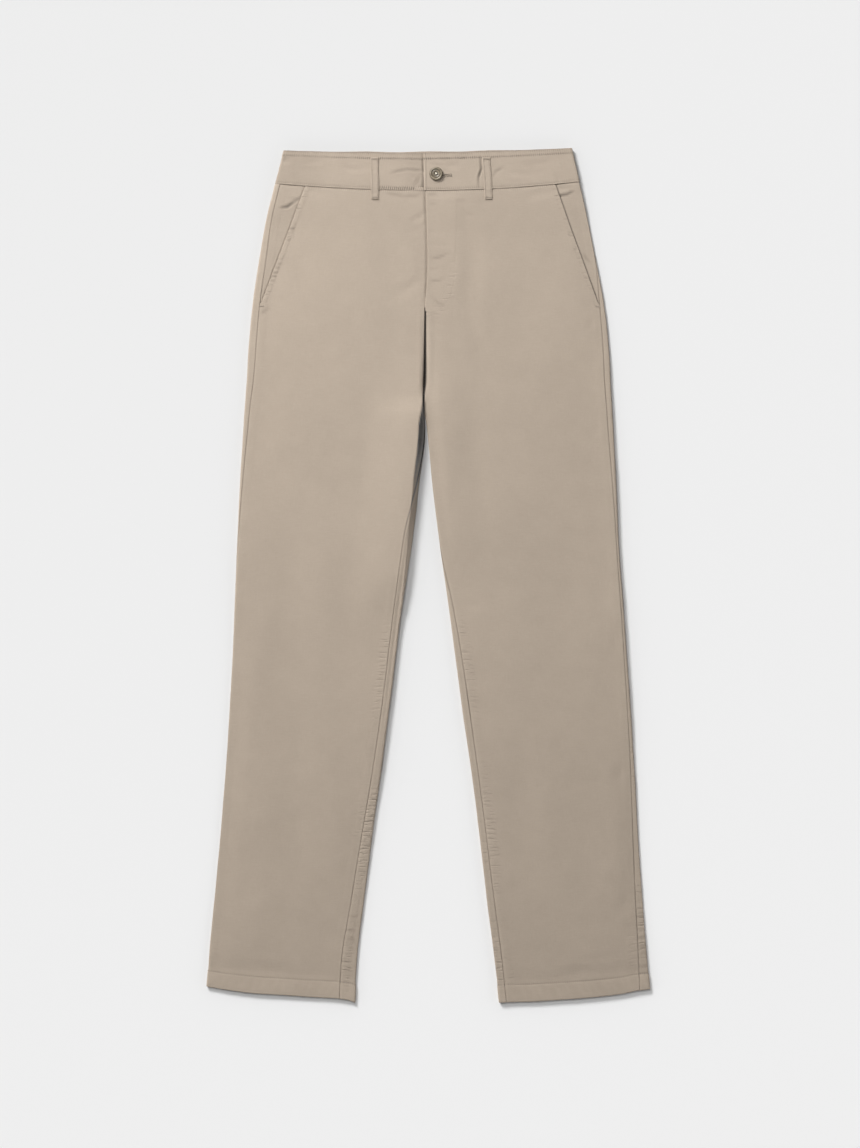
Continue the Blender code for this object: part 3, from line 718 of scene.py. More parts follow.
ROUND_SPAN = (-216, 216)
PUCKER_RANGES = {
    ("right", "inseam", "front"): (-330, -50),
    ("right", "inseam", "back"): (-505, -255),
    ("left", "inseam", "front"): (-510, -50),
    ("left", "inseam", "back"): (-505, -330),
    ("left", "outseam", "front"): (-500, -330),
    ("left", "outseam", "back"): (-505, -190),
    ("right", "outseam", "front"): (-480, -400),
    ("right", "outseam", "back"): (-505, -300),
}
PUCKER_SHARE = {
    ("inseam", "front"): 0.8,
    ("inseam", "back"): 1.5,
    ("outseam", "front"): 0.4,
    ("outseam", "back"): 0.9,
}


def seam_puckers(relief, skin, v, away, which, panel, seed):
    low, high = PUCKER_RANGES[skin.side, which, panel]
    strength = settings().pucker * (0.05 + 0.33 * between(low + 30, high - 30, v, 45))
    strength = strength * PUCKER_SHARE[which, panel]
    drift = 0.6 + 0.4 * np.sin(v / 37 + seed)
    puckers(relief, v, away, (low, high), 9.5, 15, 0.5 * strength * drift, seed)
    drawn = 2.4 * strength * drift * ease(0, 2, away) * ease(17, 8, away)
    relief.mark(puckered=drawn)


def fork_shade(v):
    """How dark the painted shade on the slope beside the fork is, from its foot up."""
    return (FORK_SHADE + 0.35 * ease(130, 165, v)) * ease(10, 150, v)


def under_band(relief, to_waist, depth=0.75):
    """The top of a piece sinks under the waistband."""
    relief.add(-0.45 * ease(2.5, 0, to_waist) - depth * ease(0.2, -1.2, to_waist))


def front_relief(skin, v, g, x, y, up):
    made = Relief(x)
    seed = 100 if skin.side == "right" else 200
    from_start = g - front_starts(skin, v)
    from_end = front_ends(skin, v) - g
    to_waist = skin.waist - v
    opening = ease(POCKET_BOTTOM_Y - 3, POCKET_BOTTOM_Y + 5, v)
    unevenness(made, x, y, seed)
    made.add(troughs(x, y, FRONT_FOLDS, settings().crease))
    creased(made, x, y, FRONT_CREASES)
    seam(made, from_start + OUT_OF_REACH * opening)
    seam_puckers(made, skin, v, from_start + OUT_OF_REACH * opening, "outseam", "front", seed + 3)
    folded = opening * ease(482, 474, v)
    made.add(0.12 * opening * ease(9, 3, from_start), 0.1 * opening * bump(from_start - 2, 1.5))
    # Painted shade along the pocket opening, darker at the wearer's left pocket
    line = 0.15 if skin.side == "right" else 1.5
    made.mark(-line * opening * bump(from_start, 0.8))
    stitch_line(made, from_start - POCKET_STITCH, 0.08 * opening)
    if skin.side == "right":
        rung = np.sin(2 * math.pi * v / 5.9 + 1.6 * np.sin(v / 12) + 0.12 * from_start)
        some = opening * ease(460, 448, v) * np.clip(0.55 + 0.6 * np.sin(v / 8.3), 0, 1)
        some = some * between(1.2, 5.5, from_start, 2)
        # Painted shade in the hollows of the puckers beside the pocket
        made.add(0.08 * some * rung, -0.8 * some * np.maximum(-rung, 0) ** 3)
    drawn = folded * (0.75 + 0.25 * np.sin(v / 9 + seed)) * ease(0, 1, from_start)
    made.mark(puckered=(1 if skin.side == "right" else 0.8) * drawn * ease(9, 5, from_start))
    if skin.side == "left":
        fly = ease(FLY_END_Y - 6, FLY_END_Y + 4, v)
        made.add(0.15 * fly * ease(5, 1, from_end), 0.2 * fly * bump(from_end, 1))
        fly_stitching(made, x, y, seed)
    else:
        past = g - skin.over_length(v)
        fly = ease(FLY_END_Y - 2, FLY_END_Y + 10, v)
        back = FLY_SET_BACK * ease(FLY_END_Y, FLY_END_Y + 45, v)
        # The right front dips under the fly's edge, with painted shade along it
        made.add(-0.8 * fly * ease(-1.6, 0.8, past), -0.4 * fly * bump(past - back, 1))
    closed_end = from_end + OUT_OF_REACH * fly
    seam(made, closed_end, wear_and_shade=0.35)
    opened = ease(FLY_END_Y + 10, FORK_Y, v)
    below = 60 if skin.side == "right" else 26
    # Painted shade: black in the crease above the fork, and dark down the slope of the right leg beside it
    painted_crease_shade = ease(FLY_END_Y + 12, FLY_END_Y - 4, v) * ease(FORK_Y - 4 - below, FORK_Y - 4, v)
    half = 0.9 + 1.5 * opened
    painted_crease_shade = painted_crease_shade * (FORK_SHADE + 0.7 * ease(FORK_Y - 16, FORK_Y - 9, v))
    dark = painted_crease_shade * ease(half + 1, half - 0.3, closed_end)
    if skin.side == "right":
        slope = curve_by(SLOPE, v)
        from_edge = skin.over_length(v) - g
        shade = fork_shade(v) * ease(FORK_Y + 4, FORK_Y - 8, v)
        dark = np.maximum(dark, shade * ease(slope + 2.2, slope + 0.6, from_edge))
        # Painted shade under the waistband's edge beside the lap
        made.mark(-0.8 * ease(-26, -16, x) * bump(to_waist, 0.9))
    made.mark(-dark)
    seam_puckers(made, skin, v, closed_end, "inseam", "front", seed + 5)
    hem_band(made, skin, v, g, seed + 6)
    under_band(made, to_waist)
    gathered = 0.10 * ease(20, 6, np.abs(to_waist))
    puckers(made, g, np.abs(to_waist), ROUND_SPAN, 9, 9, gathered, seed + 7)
    # Painted shade under the waistband's edge
    made.mark(-0.25 * bump(to_waist - 0.6, 1), ticks=0.35 * ease(5, 1, to_waist))
    return made


def fly_stitching(relief, x, y, seed):
    """The curved row of stitches through the fly facing, drawing up the cloth a little."""
    near = (x > -8) & (x < 52) & (y > 310) & (y < 482)
    off, share, side, length = along_line(FLY_STITCH, x[near], y[near])
    part = Relief(off)
    stitch_line(part, off, 0.05)
    inner = np.where(side < 0, off, 99)
    curved = 0.09 * ease(0.35, 0.75, share)
    part.mark(puckered=0.5 * ease(0.4, 0.7, share) * ease(9, 2, off))
    puckers(part, share * length, inner, (0, length), 5, 9, curved, seed + 8, 0.8)
    puckers(part, share * length, off, (0, length), 6.5, 7, 0.05, seed + 9, 0.5)
    relief.height[near] += part.height
    relief.wear_and_shade[near] += part.wear_and_shade
    relief.puckered[near] += part.puckered


def back_relief(skin, v, g, x, y, up):
    made = Relief(x)
    seed = 300 if skin.side == "right" else 400
    from_outseam = skin.at("outseam", v) - g
    from_inner = g + skin.over_length(v) + skin.at("inseam", v)
    to_waist = skin.waist - v
    unevenness(made, x + g, y, seed)
    made.add(troughs(x, y, BACK_FOLDS, settings().crease) * ease(0.2, -0.6, up))
    seam(made, from_outseam)
    seam_puckers(made, skin, v, from_outseam, "outseam", "back", seed + 3)
    seam(made, from_inner, wear_and_shade=0.35)
    seam_puckers(made, skin, v, from_inner, "inseam", "back", seed + 5)
    strip = between(-140, 60, v, 60) if skin.side == "right" else 0 * v
    if skin.side == "right":
        # Painted shade on the slope beside the fork
        shade = fork_shade(v) * ease(FORK_Y, FORK_Y - 20, v)
        made.mark(-shade * ease(-0.3, 0.1, up) * ease(26, 18, from_inner))
    beside = from_inner if skin.side == "right" else from_outseam
    rung = np.sin(2 * math.pi * v / 8.7 + 1.3 * np.sin(v / 21) + 0.06 * beside)
    ladder = between(-497, -425, v, 14) * between(1.5, 10, beside, 4)
    # Painted shade in the hollows of the ladder of puckers
    made.add(0.11 * ladder * rung, -0.5 * ladder * np.maximum(-rung, 0) ** 2)
    made.add(-0.7 * strip * bump(from_inner - 5.2, 2.4) + 0.3 * strip * bump(from_inner - 9, 2))
    hem_band(made, skin, v, g, seed + 6)
    under_band(made, to_waist)
    made.press(ease(0.3, -0.5, up))
    return made


def facing_relief(skin, v, g, x, y, up):
    made = Relief(x)
    seed = 500 if skin.side == "right" else 600
    to_line = g - pocket_line(skin, v)
    from_outseam = g - skin.at("outseam", v)
    to_waist = skin.waist - v
    made.add(0.05 * waves(x, y, 28, seed))
    creased(made, x, y, FACING_CREASES)
    # The right facing is a little darker all over
    if skin.side == "right":
        made.mark(-0.13)
    seam(made, from_outseam)
    under = ease(-2, 0.8, to_line) * ease(0, 3, from_outseam)
    below = ease(POCKET_BOTTOM_Y + 8, POCKET_BOTTOM_Y - 2, v)
    # Painted shade along the pocket opening, where the front's edge lies over the facing
    line = 0.3 if skin.side == "right" else 1.5
    sunk = 0.25 * ease(0, 4, from_outseam) + 0.85 * np.maximum(under, below)
    made.add(-sunk, -line * under)
    under_band(made, to_waist, 0.6)
    return made


def band_relief(skin, v, g, x, y, up):
    made = Relief(x)
    seed = 700 if skin.side == "right" else 800
    up_band = v - skin.waist
    down_band = skin.top - v
    made.add(BAND_PROUD * ease(-0.4, 0.4, up))
    made.add(0.07 * waves(x, y, 30, seed) + 0.12 * waves(x, 3 * y, 90, seed + 1))
    creased(made, x, y, BAND_CREASES)
    stitch_line(made, down_band - BAND_TOP_STITCH, 0.3)
    stitch_line(made, up_band - BAND_LOW_STITCH, 0.6)
    # The lower edge is rubbed pale; painted shade darkens the top edge
    made.add(0.12 * bump(up_band - 0.9, 0.9), 0.25 * bump(up_band - 0.8, 1.2) - bump(down_band, 0.9))
    middle = 0.7 + 0.3 * between(-60, 45, x, 30)
    made.mark(ticks=1.9 * middle * bump(down_band - BAND_TOP_STITCH, 1.3) + 0.7 * bump(down_band - 1.5, 1.5))
    pulled = middle * ease(1, 0.3, (x + 34) ** 2 / 1200) + 0.4 * middle
    made.mark(ticks=0.95 * pulled * ease(6, 3, up_band) * ease(0, 0.8, up_band))
    upper = 0.12 + 0.06 * waves(x, y, 60, seed + 2)
    lower = 0.09 + 0.04 * waves(x, y, 50, seed + 4)
    puckers(made, g, down_band, ROUND_SPAN, 3.4, 6.5, upper, seed + 3, 0.1)
    puckers(made, g, up_band, ROUND_SPAN, 4.2, 4.5, lower, seed + 5, 0.1)
    if skin.side == "right":
        dip = ease(-6 - LAP_DIP_LENGTH, -7, x)
        low = 0.75 + 0.25 * ease(512, 486, y)
        made.add(-LAP_DIP * np.maximum(dip * low, ease(-10, -6.5, x)))
        # Painted shade beside the lap's edge and along the seam below it
        beside = ease(-9.5, -6.5, x) + 0.5 * ease(-16, -7, x) * ease(496, 482, y)
        shaded = 0.35 + 0.65 * np.maximum(bump(y - 506, 6), ease(502, 490, y))
        made.mark(-np.minimum(beside, 1) * shaded * ease(520, 515, y))
        made.mark(-0.9 * ease(-26, -16, x) * bump(up_band, 0.9))
        # The band is darker towards its end at the wearer's right
        made.mark(-0.3 * ease(-110, -170, x))
    else:
        from_lap = skin.over_length(v) - g
        made.add(0.05 * bump(from_lap - 1.2, 1.2), 0.2 * bump(from_lap, 1.6))
        stitch_line(made, from_lap - LAP_STITCH, 0.8)
        hole = np.hypot(np.maximum(np.abs(x - 17.2) - 10.2, 0), y - BUTTONHOLE_Y)
        # Painted shade in the buttonhole's slit
        made.add(-0.55 * bump(hole, 0.7) + 0.15 * bump(hole - 1.4, 0.8), -0.7 * bump(hole, 0.9))
        made.add(0.5 * bump(np.hypot(x - BUTTON_X, y - BUTTON_Y), 11))
    return made


def back_band_relief(skin, v, g, x, y, up):
    made = Relief(x)
    seed = 900
    down_band = skin.top - v
    made.add(BAND_PROUD * ease(-0.4, 0.4, up))
    made.add(-0.10 * (1 + np.sin(x / 1.15 + 1.5 * np.sin(x / 9))) * ease(0.2, -0.4, up))
    stitch_line(made, down_band - BAND_TOP_STITCH)
    stitch_line(made, v - skin.waist - BAND_LOW_STITCH, 0.8)
    made.add(0.05 * waves(x, y, 20, seed))
    made.press(ease(0.3, -0.5, up))
    return made


class Cloth:
    """A piece's outer surface: the skin with its relief."""

    def __init__(self, skin, relief):
        self.skin = skin
        self.relief = relief

    def at(self, v, g):
        """Points, unit normals of the skin under them, and the cloth's marks."""
        place = self.skin(v, g)
        normal = self.skin.normals(v, g)
        made = self.relief(self.skin, v, g, place[..., 0], place[..., 1], normal[..., 2])
        return place + normal * made.height[..., None], normal, made.marks()


# ---- meshes ----------------------------------------------------------------------------


def rim_steps(radius):
    """Distances from an edge at which its rounding turns by equal angles."""
    return radius * (1 - np.cos(np.linspace(0.0, math.pi / 2, RIM_TURNS + 1)))


def offsets(radius, *others):
    return np.concatenate([rim_steps(radius), np.array(others, float)])


def rows_down(top, bottom, step, near_top, near_bottom):
    """Stations from top to bottom, with closer ones at the given distances from each end."""
    head, foot = top - near_top[-1], bottom + near_bottom[-1]
    count = max(1, math.ceil((head - foot) / step))
    middle = np.linspace(head, foot, count + 1)[1:-1]
    return np.concatenate([top - near_top, middle, (bottom + near_bottom)[::-1]])


def columns_across(start, end, near_start, near_end, step):
    """Places from start to end of each row, closer at the given distances from both."""
    length = end - start
    fit = np.minimum(1.0, 0.9 * length / (near_start[-1] + near_end[-1]))[:, None]
    head, tail = near_start[None] * fit, near_end[None] * fit
    count = max(2, math.ceil((length - head[:, -1] - tail[:, -1]).max() / step))
    t = np.linspace(0.0, 1.0, count + 1)[None, 1:-1]
    inner = head[:, -1:] + (length[:, None] - head[:, -1:] - tail[:, -1:]) * t
    return start[:, None] + np.hstack([head, inner, length[:, None] - tail[:, ::-1]])


def rounding(distances):
    """0 on the rim and 1 inside, from (distance from an edge, radius) pairs."""
    inside = 1.0
    for distance, radius in distances:
        inside = inside * np.sqrt(1 - np.clip(1 - distance / radius, 0.0, 1.0) ** 2)
    return inside


def shell(name, points, normals, thickness, distances, uv, marks, material):
    """A closed shell of cloth from a grid of outer points, with rounded edges."""
    inside = rounding(distances)
    thickness = np.broadcast_to(thickness, inside.shape)
    sink = thickness / 2 * (1 - inside)
    outer = points - normals * sink[..., None]
    inner = points - normals * (thickness - sink)[..., None]
    rows, columns = inside.shape
    outer_index = np.arange(rows * columns).reshape(rows, columns)
    inner_index = outer_index.copy()
    held = (slice(1, -1), slice(1, -1))
    inner_index[held] = rows * columns + np.arange((rows - 2) * (columns - 2)).reshape(rows - 2, -1)

    def joined(outside, under):
        """Values of the outer points, then of the inner ones that are off the edges."""
        size = outside.shape[-1]
        return np.concatenate([outside.reshape(-1, size), under[held].reshape(-1, size)])

    def quads(index):
        corners = [index[:-1, :-1], index[1:, :-1], index[1:, 1:], index[:-1, 1:]]
        return np.stack(corners, axis=-1).reshape(-1, 4)

    coordinates = joined(outer, inner) * MM
    top, bottom = quads(outer_index), quads(inner_index)
    a, b, c = (coordinates[top[:, k]] for k in range(3))
    facing = (np.cross(b - a, c - a) * normals[:-1, :-1].reshape(-1, 3)).sum()
    top, bottom = (top, bottom[:, ::-1]) if facing > 0 else (top[:, ::-1], bottom)
    marks = np.clip(joined(marks, marks), -MARK_LIMIT, MARK_LIMIT)
    return piece(name, coordinates, np.concatenate([top, bottom]), joined(uv, uv) * MM, marks, material)


def piece(name, coordinates, faces, uv, marks, material):
    mesh = bpy.data.meshes.new(name)
    mesh.from_pydata(coordinates.tolist(), [], faces.tolist())
    layer = mesh.uv_layers.new(name="cloth")
    corner = np.empty(len(mesh.loops), np.int32)
    mesh.loops.foreach_get("vertex_index", corner)
    layer.data.foreach_set("uv", uv[corner].astype(np.float32).ravel())
    attribute = mesh.attributes.new("marks", "FLOAT_VECTOR", "POINT")
    attribute.data.foreach_set("vector", marks.astype(np.float32).ravel())
    mesh.materials.append(material)
    mesh.shade_smooth()
    return new_object(name, mesh)


def grid_uv(v, g):
    return np.stack([g, v], axis=-1)


def settle(made, node):
    """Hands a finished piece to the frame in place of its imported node."""
    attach(made, "root")
    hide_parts(node)
    return made


# ---- pieces ----------------------------------------------------------------------------


def hem_wall(skin, v):
    """Thickness of a panel, thicker where its hem is turned up."""
    thin, reach = settings().cloth / MM, settings().hem_depth / MM
    return thin + (HEM_THICKNESS - thin) * ease(reach + 1.0, reach, v - skin.hem)


def front_cloth(side):
    return Cloth(SKINS[side], front_relief)


def back_cloth(side):
    return Cloth(SKINS[side], back_relief)


def lay(name, cloth, g, rows, wall, radii, material):
    """Lays a piece over its places, g along each row."""
    v = np.broadcast_to(rows[:, None], g.shape)
    points, normals, marks = cloth.at(v, g)
    edges = [
        (np.abs(g - g[:, :1]), radii[0]),
        (np.abs(g - g[:, -1:]), radii[0]),
        (v - rows[-1], radii[1]),
        (rows[0] - v, radii[0]),
    ]
    made = shell("cloth_" + name, points, normals, wall, edges, grid_uv(v, g), marks, material)
    settle(made, name)
    return declare_sheet(made)


def build_front(side, material):
    skin = SKINS[side]
    thin = settings().cloth / MM
    near_hem = offsets(HEM_RADIUS, 1.6, 2.8, 4.5, 7.0, 10.0, 13.0, 16.0, 18.0, 19.3, 20.1, 20.7, 21.3,
                       22.0, 23.2, 25.0, 27.5)
    near_waist = offsets(EDGE_RADIUS, 1.6, 2.6, 3.4, 3.9, 4.4, 5.0, 5.8, 7.0, 9.0)
    rows = rows_down(skin.waist + WAIST_TONGUE, skin.hem, 2.6, near_waist, near_hem)
    start, end = front_starts(skin, rows), front_ends(skin, rows)
    near_start = offsets(EDGE_RADIUS, 1.0, 1.6, 2.4, 3.4, 4.4, 5.0, 5.5, 6.1, 6.8, 8.0, 9.8, 12.0, 14.5, 17.5)
    near_end = (1.0, 1.6, 2.4, 3.4, 4.6, 6.0, 7.6, 9.2, 10.6, 11.6, 12.4, 13.4, 15.0, 17.0, 19.5)
    if side == "left":
        near_end = (1.0, 1.6, 2.4, 3.4, 4.8, *np.arange(6.4, 30.0, 1.7), *np.arange(30.2, 41.5, 0.9),
                    43.0, 45.5)
    g = columns_across(start, end, near_start, offsets(EDGE_RADIUS, *near_end), 3.3)
    v = rows[:, None]
    folded = ease(POCKET_BOTTOM_Y - 2, POCKET_BOTTOM_Y + 6, v) * ease(10.0, 6.0, g - start[:, None])
    if side == "left":
        lap = ease(FLY_END_Y - 4, FLY_END_Y + 8, v)
        folded = np.maximum(folded, lap * ease(9.0, 5.0, end[:, None] - g))
    wall = np.maximum(thin + (FOLDED_EDGE - thin) * folded, hem_wall(skin, v))
    return lay("front_" + side, front_cloth(side), g, rows, wall, (EDGE_RADIUS, HEM_RADIUS),
               material)


def build_back(side, material):
    skin = SKINS[side]
    near_hem = offsets(HEM_RADIUS, 1.6, 3.0, 5.5, 9.0, 13.0, 17.0, 19.3, 20.4, 21.0, 21.6, 22.6, 24.5, 27.5)
    near_waist = offsets(EDGE_RADIUS, 1.8, 3.2, 4.2, 5.2, 7.0, 9.5)
    rows = rows_down(skin.waist + WAIST_TONGUE, skin.hem, 3.4, near_waist, near_hem)
    end = skin.over_length(rows) + skin.at("inseam", rows)
    near = offsets(EDGE_RADIUS, 1.0, 1.6, 2.4, *np.arange(3.3, 24.0, 0.95), 26.0, 29.0, 33.0)
    g = -columns_across(-skin.at("outseam", rows), end, near, near, 8.0)
    return lay("back_" + side, back_cloth(side), g, rows, hem_wall(skin, rows[:, None]),
               (EDGE_RADIUS, HEM_RADIUS), material)


def build_facing(side, material):
    skin = SKINS[side]
    near = offsets(EDGE_RADIUS, 1.2, 2.0, 3.0, 4.2)
    rows = rows_down(skin.waist + WAIST_TONGUE, POCKET_BOTTOM_Y - 8, 1.6, near, near)
    end = pocket_line(skin, rows) + UNDERLAP
    g = columns_across(skin.at("outseam", rows), end, near, near, 1.4)
    return lay("pocket_facing_" + side, Cloth(skin, facing_relief), g, rows,
               settings().cloth / MM, (EDGE_RADIUS, EDGE_RADIUS), material)


def declare_sheet(made):
    """Hands the piece back as it is."""
    return made


def band_wall(up_band):
    return BAND_LIP + (BAND_THICKNESS - BAND_LIP) * ease(4.5, 6.5, up_band)


def build_front_band(side, material):
    skin = SKINS[side]
    near_low = offsets(BAND_RADIUS, 1.6, 2.0, 2.4, 2.8, 3.4)
    near_top = offsets(BAND_RADIUS, 1.6, 2.6, 3.6, 4.6, 5.3, 5.9, 6.3, 6.7, 7.3)
    rows = rows_down(skin.top, skin.waist, 0.9, near_top, near_low)
    end = skin.over_length(rows) + (UNDERLAP if side == "right" else 0.0)
    near = offsets(BAND_RADIUS, 1.5, 2.2, 2.8, 3.3, 4.0)
    g = columns_across(np.full_like(rows, -BAND_SEAM_PAST_FOLD), end, near, near, 1.05)
    return lay("waistband_front_" + side, Cloth(skin, band_relief), g, rows,
               band_wall(rows[:, None] - skin.waist), (BAND_RADIUS, BAND_RADIUS), material)


def build_back_band(material):
    """One piece round the back, gathered, with its top edge a little higher in the middle."""
    halves = []
    near_top = offsets(BAND_RADIUS, 1.8, 3.0, 4.4, 5.6, 6.3, 7.0)
    near_low = offsets(BAND_RADIUS, 1.8, 2.4, 3.2)
    for side in ("right", "left"):
        skin = SKINS[side]
        rows = rows_down(skin.top, skin.waist, 1.9, near_top, near_low)
        start = np.full_like(rows, BAND_SEAM_PAST_FOLD)
        end = skin.over_length(rows)
        near = offsets(BAND_RADIUS, 1.5, 2.2, 3.0, 3.9, 4.8, 5.8)
        g = -columns_across(start, end, near, np.array([0.0]), 1.5)
        v = np.broadcast_to(rows[:, None], g.shape)
        points, normals, marks = Cloth(skin, back_band_relief).at(v, g)
        edge = rounding([(-g - start[:, None], BAND_RADIUS)])
        halves.append((points, normals, marks, v, g, edge))
    right, left = halves
    points, normals, marks, v, g, edge = (
        np.concatenate([a, b[:, -2::-1]], axis=1) for a, b in zip(right, left)
    )
    turn = right[0].shape[1]
    g = g.copy()
    g[:, turn:] = 2 * g[:, turn - 1 : turn] - g[:, turn:]
    share = (points[..., 0] - points[:, :1, 0]) / (points[:, -1:, 0] - points[:, :1, 0])
    low, high = SKINS["right"].waist, SKINS["right"].top
    upward = np.clip((v - low) / (high - low), 0.0, 1.0) ** 2
    ripple = BACK_BAND_RIPPLE * np.sin(BACK_BAND_RIPPLES * math.pi * share)
    above = (BACK_BAND_RISE + ripple) * np.sin(math.pi * share)
    points = points.copy()
    points[..., 1] += upward * above
    # Painted shade behind the front band's top edge and along the back band's own top edge
    behind = bump(v[:1] - v - above, 0.9) * ease(0.3, 1.2, above)
    marks = marks.copy()
    marks[..., 0] -= 0.9 * behind + 0.35 * bump(v[:1] - v, 1.1)
    marks[..., 1] += 0.9 * ease(3.5, 1.5, v[:1] - v)
    from_end = BAND_RADIUS * (1 - np.sqrt(np.clip(1 - edge**2, 0.0, 1.0)))
    edges = [
        (from_end, BAND_RADIUS),
        (v - v[-1:], BAND_RADIUS),
        (v[:1] - v, BAND_RADIUS),
    ]
    wall = band_wall(v - v[-1:])
    made = shell("cloth_waistband_back", points, normals, wall, edges, grid_uv(v, g), marks, material)
    settle(made, "waistband_back")
    return declare_sheet(made)


def loop_points(x_top, x_bottom, share, offset, front):
    """Outer points of a loop, share of the way down it and offset across it."""
    y = LOOP_TOP_Y + (LOOP_BOTTOM_Y - LOOP_TOP_Y) * share
    x = x_top + (x_bottom - x_top) * share + offset
    if not front:
        return np.stack([x, y, np.full_like(x, BACK_LOOP_Z)], axis=-1)
    return np.stack([x + 0.2 * np.sin(9.0 * share + x_top), y, front_loop_height(x, y, share)], axis=-1)


def front_loop_height(x, y, share):
    """Rests on the waistband's face, spans the step below it and lands on the front."""
    skin = SKINS["right" if x.mean() < 0.0 else "left"]
    v, g = skin.locate(x, y)
    landing = ease(skin.waist + 1.0, skin.waist - 5.0, v)
    lift = (BAND_PROUD + 0.05) * (1 - landing) + 0.1 * landing
    slack = LOOP_SLACK * np.sin(math.pi * share) ** 2
    folded = ease(0.10, 0.0, share) + ease(0.88, 1.0, share)
    return skin(v, g)[..., 2] + lift + slack + LOOP_THICKNESS + 0.35 * folded


def loop_relief(share, offset, seed):
    made = Relief(share)
    length = LOOP_TOP_Y - LOOP_BOTTOM_Y
    from_side = LOOP_WIDTH / 2 - np.abs(offset)
    along = share * length
    stitch_line(made, from_side - LOOP_STITCH, 0.8)
    made.add(-0.10 * bump(offset, 2.2), 0.1 * bump(from_side, 1.0))
    end = np.minimum(along, length - along)
    stitch_line(made, length - along - LOOP_BAR)
    made.mark(0.15 * bump(end, 1.2))
    made.add(0.05 * waves(offset, along, 9.0, seed))
    return made


def build_loop(name, x_top, x_bottom, front, material):
    length = LOOP_TOP_Y - LOOP_BOTTOM_Y
    near = offsets(EDGE_RADIUS, 0.9, 1.4, 1.9, 2.4)
    near_end = offsets(EDGE_RADIUS, 1.3, 2.0, 2.4, 2.8, 3.6)
    down = rows_down(length, 0.0, 1.2, near_end, near_end)
    share = ((length - down) / length)[:, None]
    half = np.array([LOOP_WIDTH / 2])
    share, offset = np.broadcast_arrays(share, columns_across(-half, half, near, near, 0.7))
    relief = loop_relief(share, offset, 1000 + int(x_top))
    points = loop_points(x_top, x_bottom, share, offset, front)
    points[..., 2] += relief.height if front else np.maximum(-relief.height, 0.0)
    normals = np.broadcast_to((0.0, 0.0, 1.0 if front else -1.0), points.shape)
    edges = [
        (LOOP_WIDTH / 2 + offset, EDGE_RADIUS),
        (LOOP_WIDTH / 2 - offset, EDGE_RADIUS),
        (share * length, EDGE_RADIUS),
        ((1 - share) * length, EDGE_RADIUS),
    ]
    folded = ease(0.13, 0.10, share) + ease(0.86, 0.89, share)
    wall = LOOP_THICKNESS + (0.35 * folded if front else 0.0)
    uv = np.stack([offset, share * length], axis=-1)
    made = shell("cloth_" + name, points, normals, wall, edges, uv, relief.marks(), material)
    settle(made, name)
    return made


def settings():
    return bpy.context.scene.chino_cloth


def trims():
    return bpy.context.scene.chino_trims


def studio():
    return bpy.context.scene.chino_studio


# ---- materials -------------------------------------------------------------------------


class Wires:
    """Adds nodes to a tree; an input is given a value, or a socket or node to be joined to."""

    def __init__(self, tree):
        self.tree = tree

    def put(self, socket, value):
        if isinstance(value, bpy.types.Node):
            value = value.outputs[0]
        if isinstance(value, bpy.types.NodeSocket):
            self.tree.links.new(value, socket)
        elif value is not None:
            socket.default_value = value

    def node(self, kind, inputs=None, **properties):
        made = self.tree.nodes.new(kind)
        for name, value in properties.items():
            setattr(made, name, value)
        for name, value in (inputs or {}).items():
            self.put(made.inputs[name], value)
        return made

    def math(self, operation, *values):
        made = self.node("ShaderNodeMath", operation=operation)
        for socket, value in zip(made.inputs, values):
            self.put(socket, value)
        return made.outputs[0]

    def plus(self, first, second):
        return self.math("ADD", first, second)

    def minus(self, first, second):
        return self.math("SUBTRACT", first, second)

    def times(self, first, second, added=None):
        """The product, with a third amount added to it where one is given."""
        if added is None:
            return self.math("MULTIPLY", first, second)
        return self.math("MULTIPLY_ADD", first, second, added)

    def split(self, vector):
        return self.node("ShaderNodeSeparateXYZ", {"Vector": vector}).outputs

    def place(self):
        """The place on the object, in metres."""
        return self.node("ShaderNodeTexCoord").outputs["Object"]

    def vector(self, operation, first, second=None, scale=None):
        made = self.node("ShaderNodeVectorMath", operation=operation)
        self.put(made.inputs[0], first)
        self.put(made.inputs[1], second)
        self.put(made.inputs[3], scale)
        return made.outputs[1 if operation in ("DISTANCE", "DOT_PRODUCT") else 0]

    def noise(self, vector, scale, detail=2.0, roughness=0.5):
        inputs = {"Vector": vector, "Scale": scale, "Detail": detail, "Roughness": roughness}
        return self.node("ShaderNodeTexNoise", inputs).outputs["Fac"]

    def ramp(self, value, low, high, shape="SMOOTHSTEP"):
        """0 at low and 1 at high."""
        inputs = {"Value": value, "From Min": low, "From Max": high}
        return self.node("ShaderNodeMapRange", inputs, interpolation_type=shape).outputs["Result"]

    def mix(self, factor, first, second):
        made = self.node("ShaderNodeMix", data_type="RGBA", blend_type="MIX")
        self.put(made.inputs[0], factor)
        self.put(made.inputs[6], first)
        self.put(made.inputs[7], second)
        return made.outputs[2]

    def tinted(self, colour, amount):
        """The colour made amount times as bright."""
        return self.vector("SCALE", colour, scale=amount)


def group(name, inputs, outputs):
    """A new shader group, its wires, and the sockets of its input and output nodes.

    An input whose default is None is a vector; the others are numbers or colours.
    """
    tree = bpy.data.node_groups.new(name, "ShaderNodeTree")
    for label, value in inputs.items():
        kind = "Vector" if value is None else "Float" if isinstance(value, float) else "Color"
        socket = tree.interface.new_socket(label, in_out="INPUT", socket_type="NodeSocket" + kind)
        if value is not None:
            socket.default_value = value
    for label in outputs:
        kind = "Color" if label == "Colour" else "Float"
        tree.interface.new_socket(label, in_out="OUTPUT", socket_type="NodeSocket" + kind)
    wires = Wires(tree)
    return tree, wires, wires.node("NodeGroupInput").outputs, wires.node("NodeGroupOutput").inputs


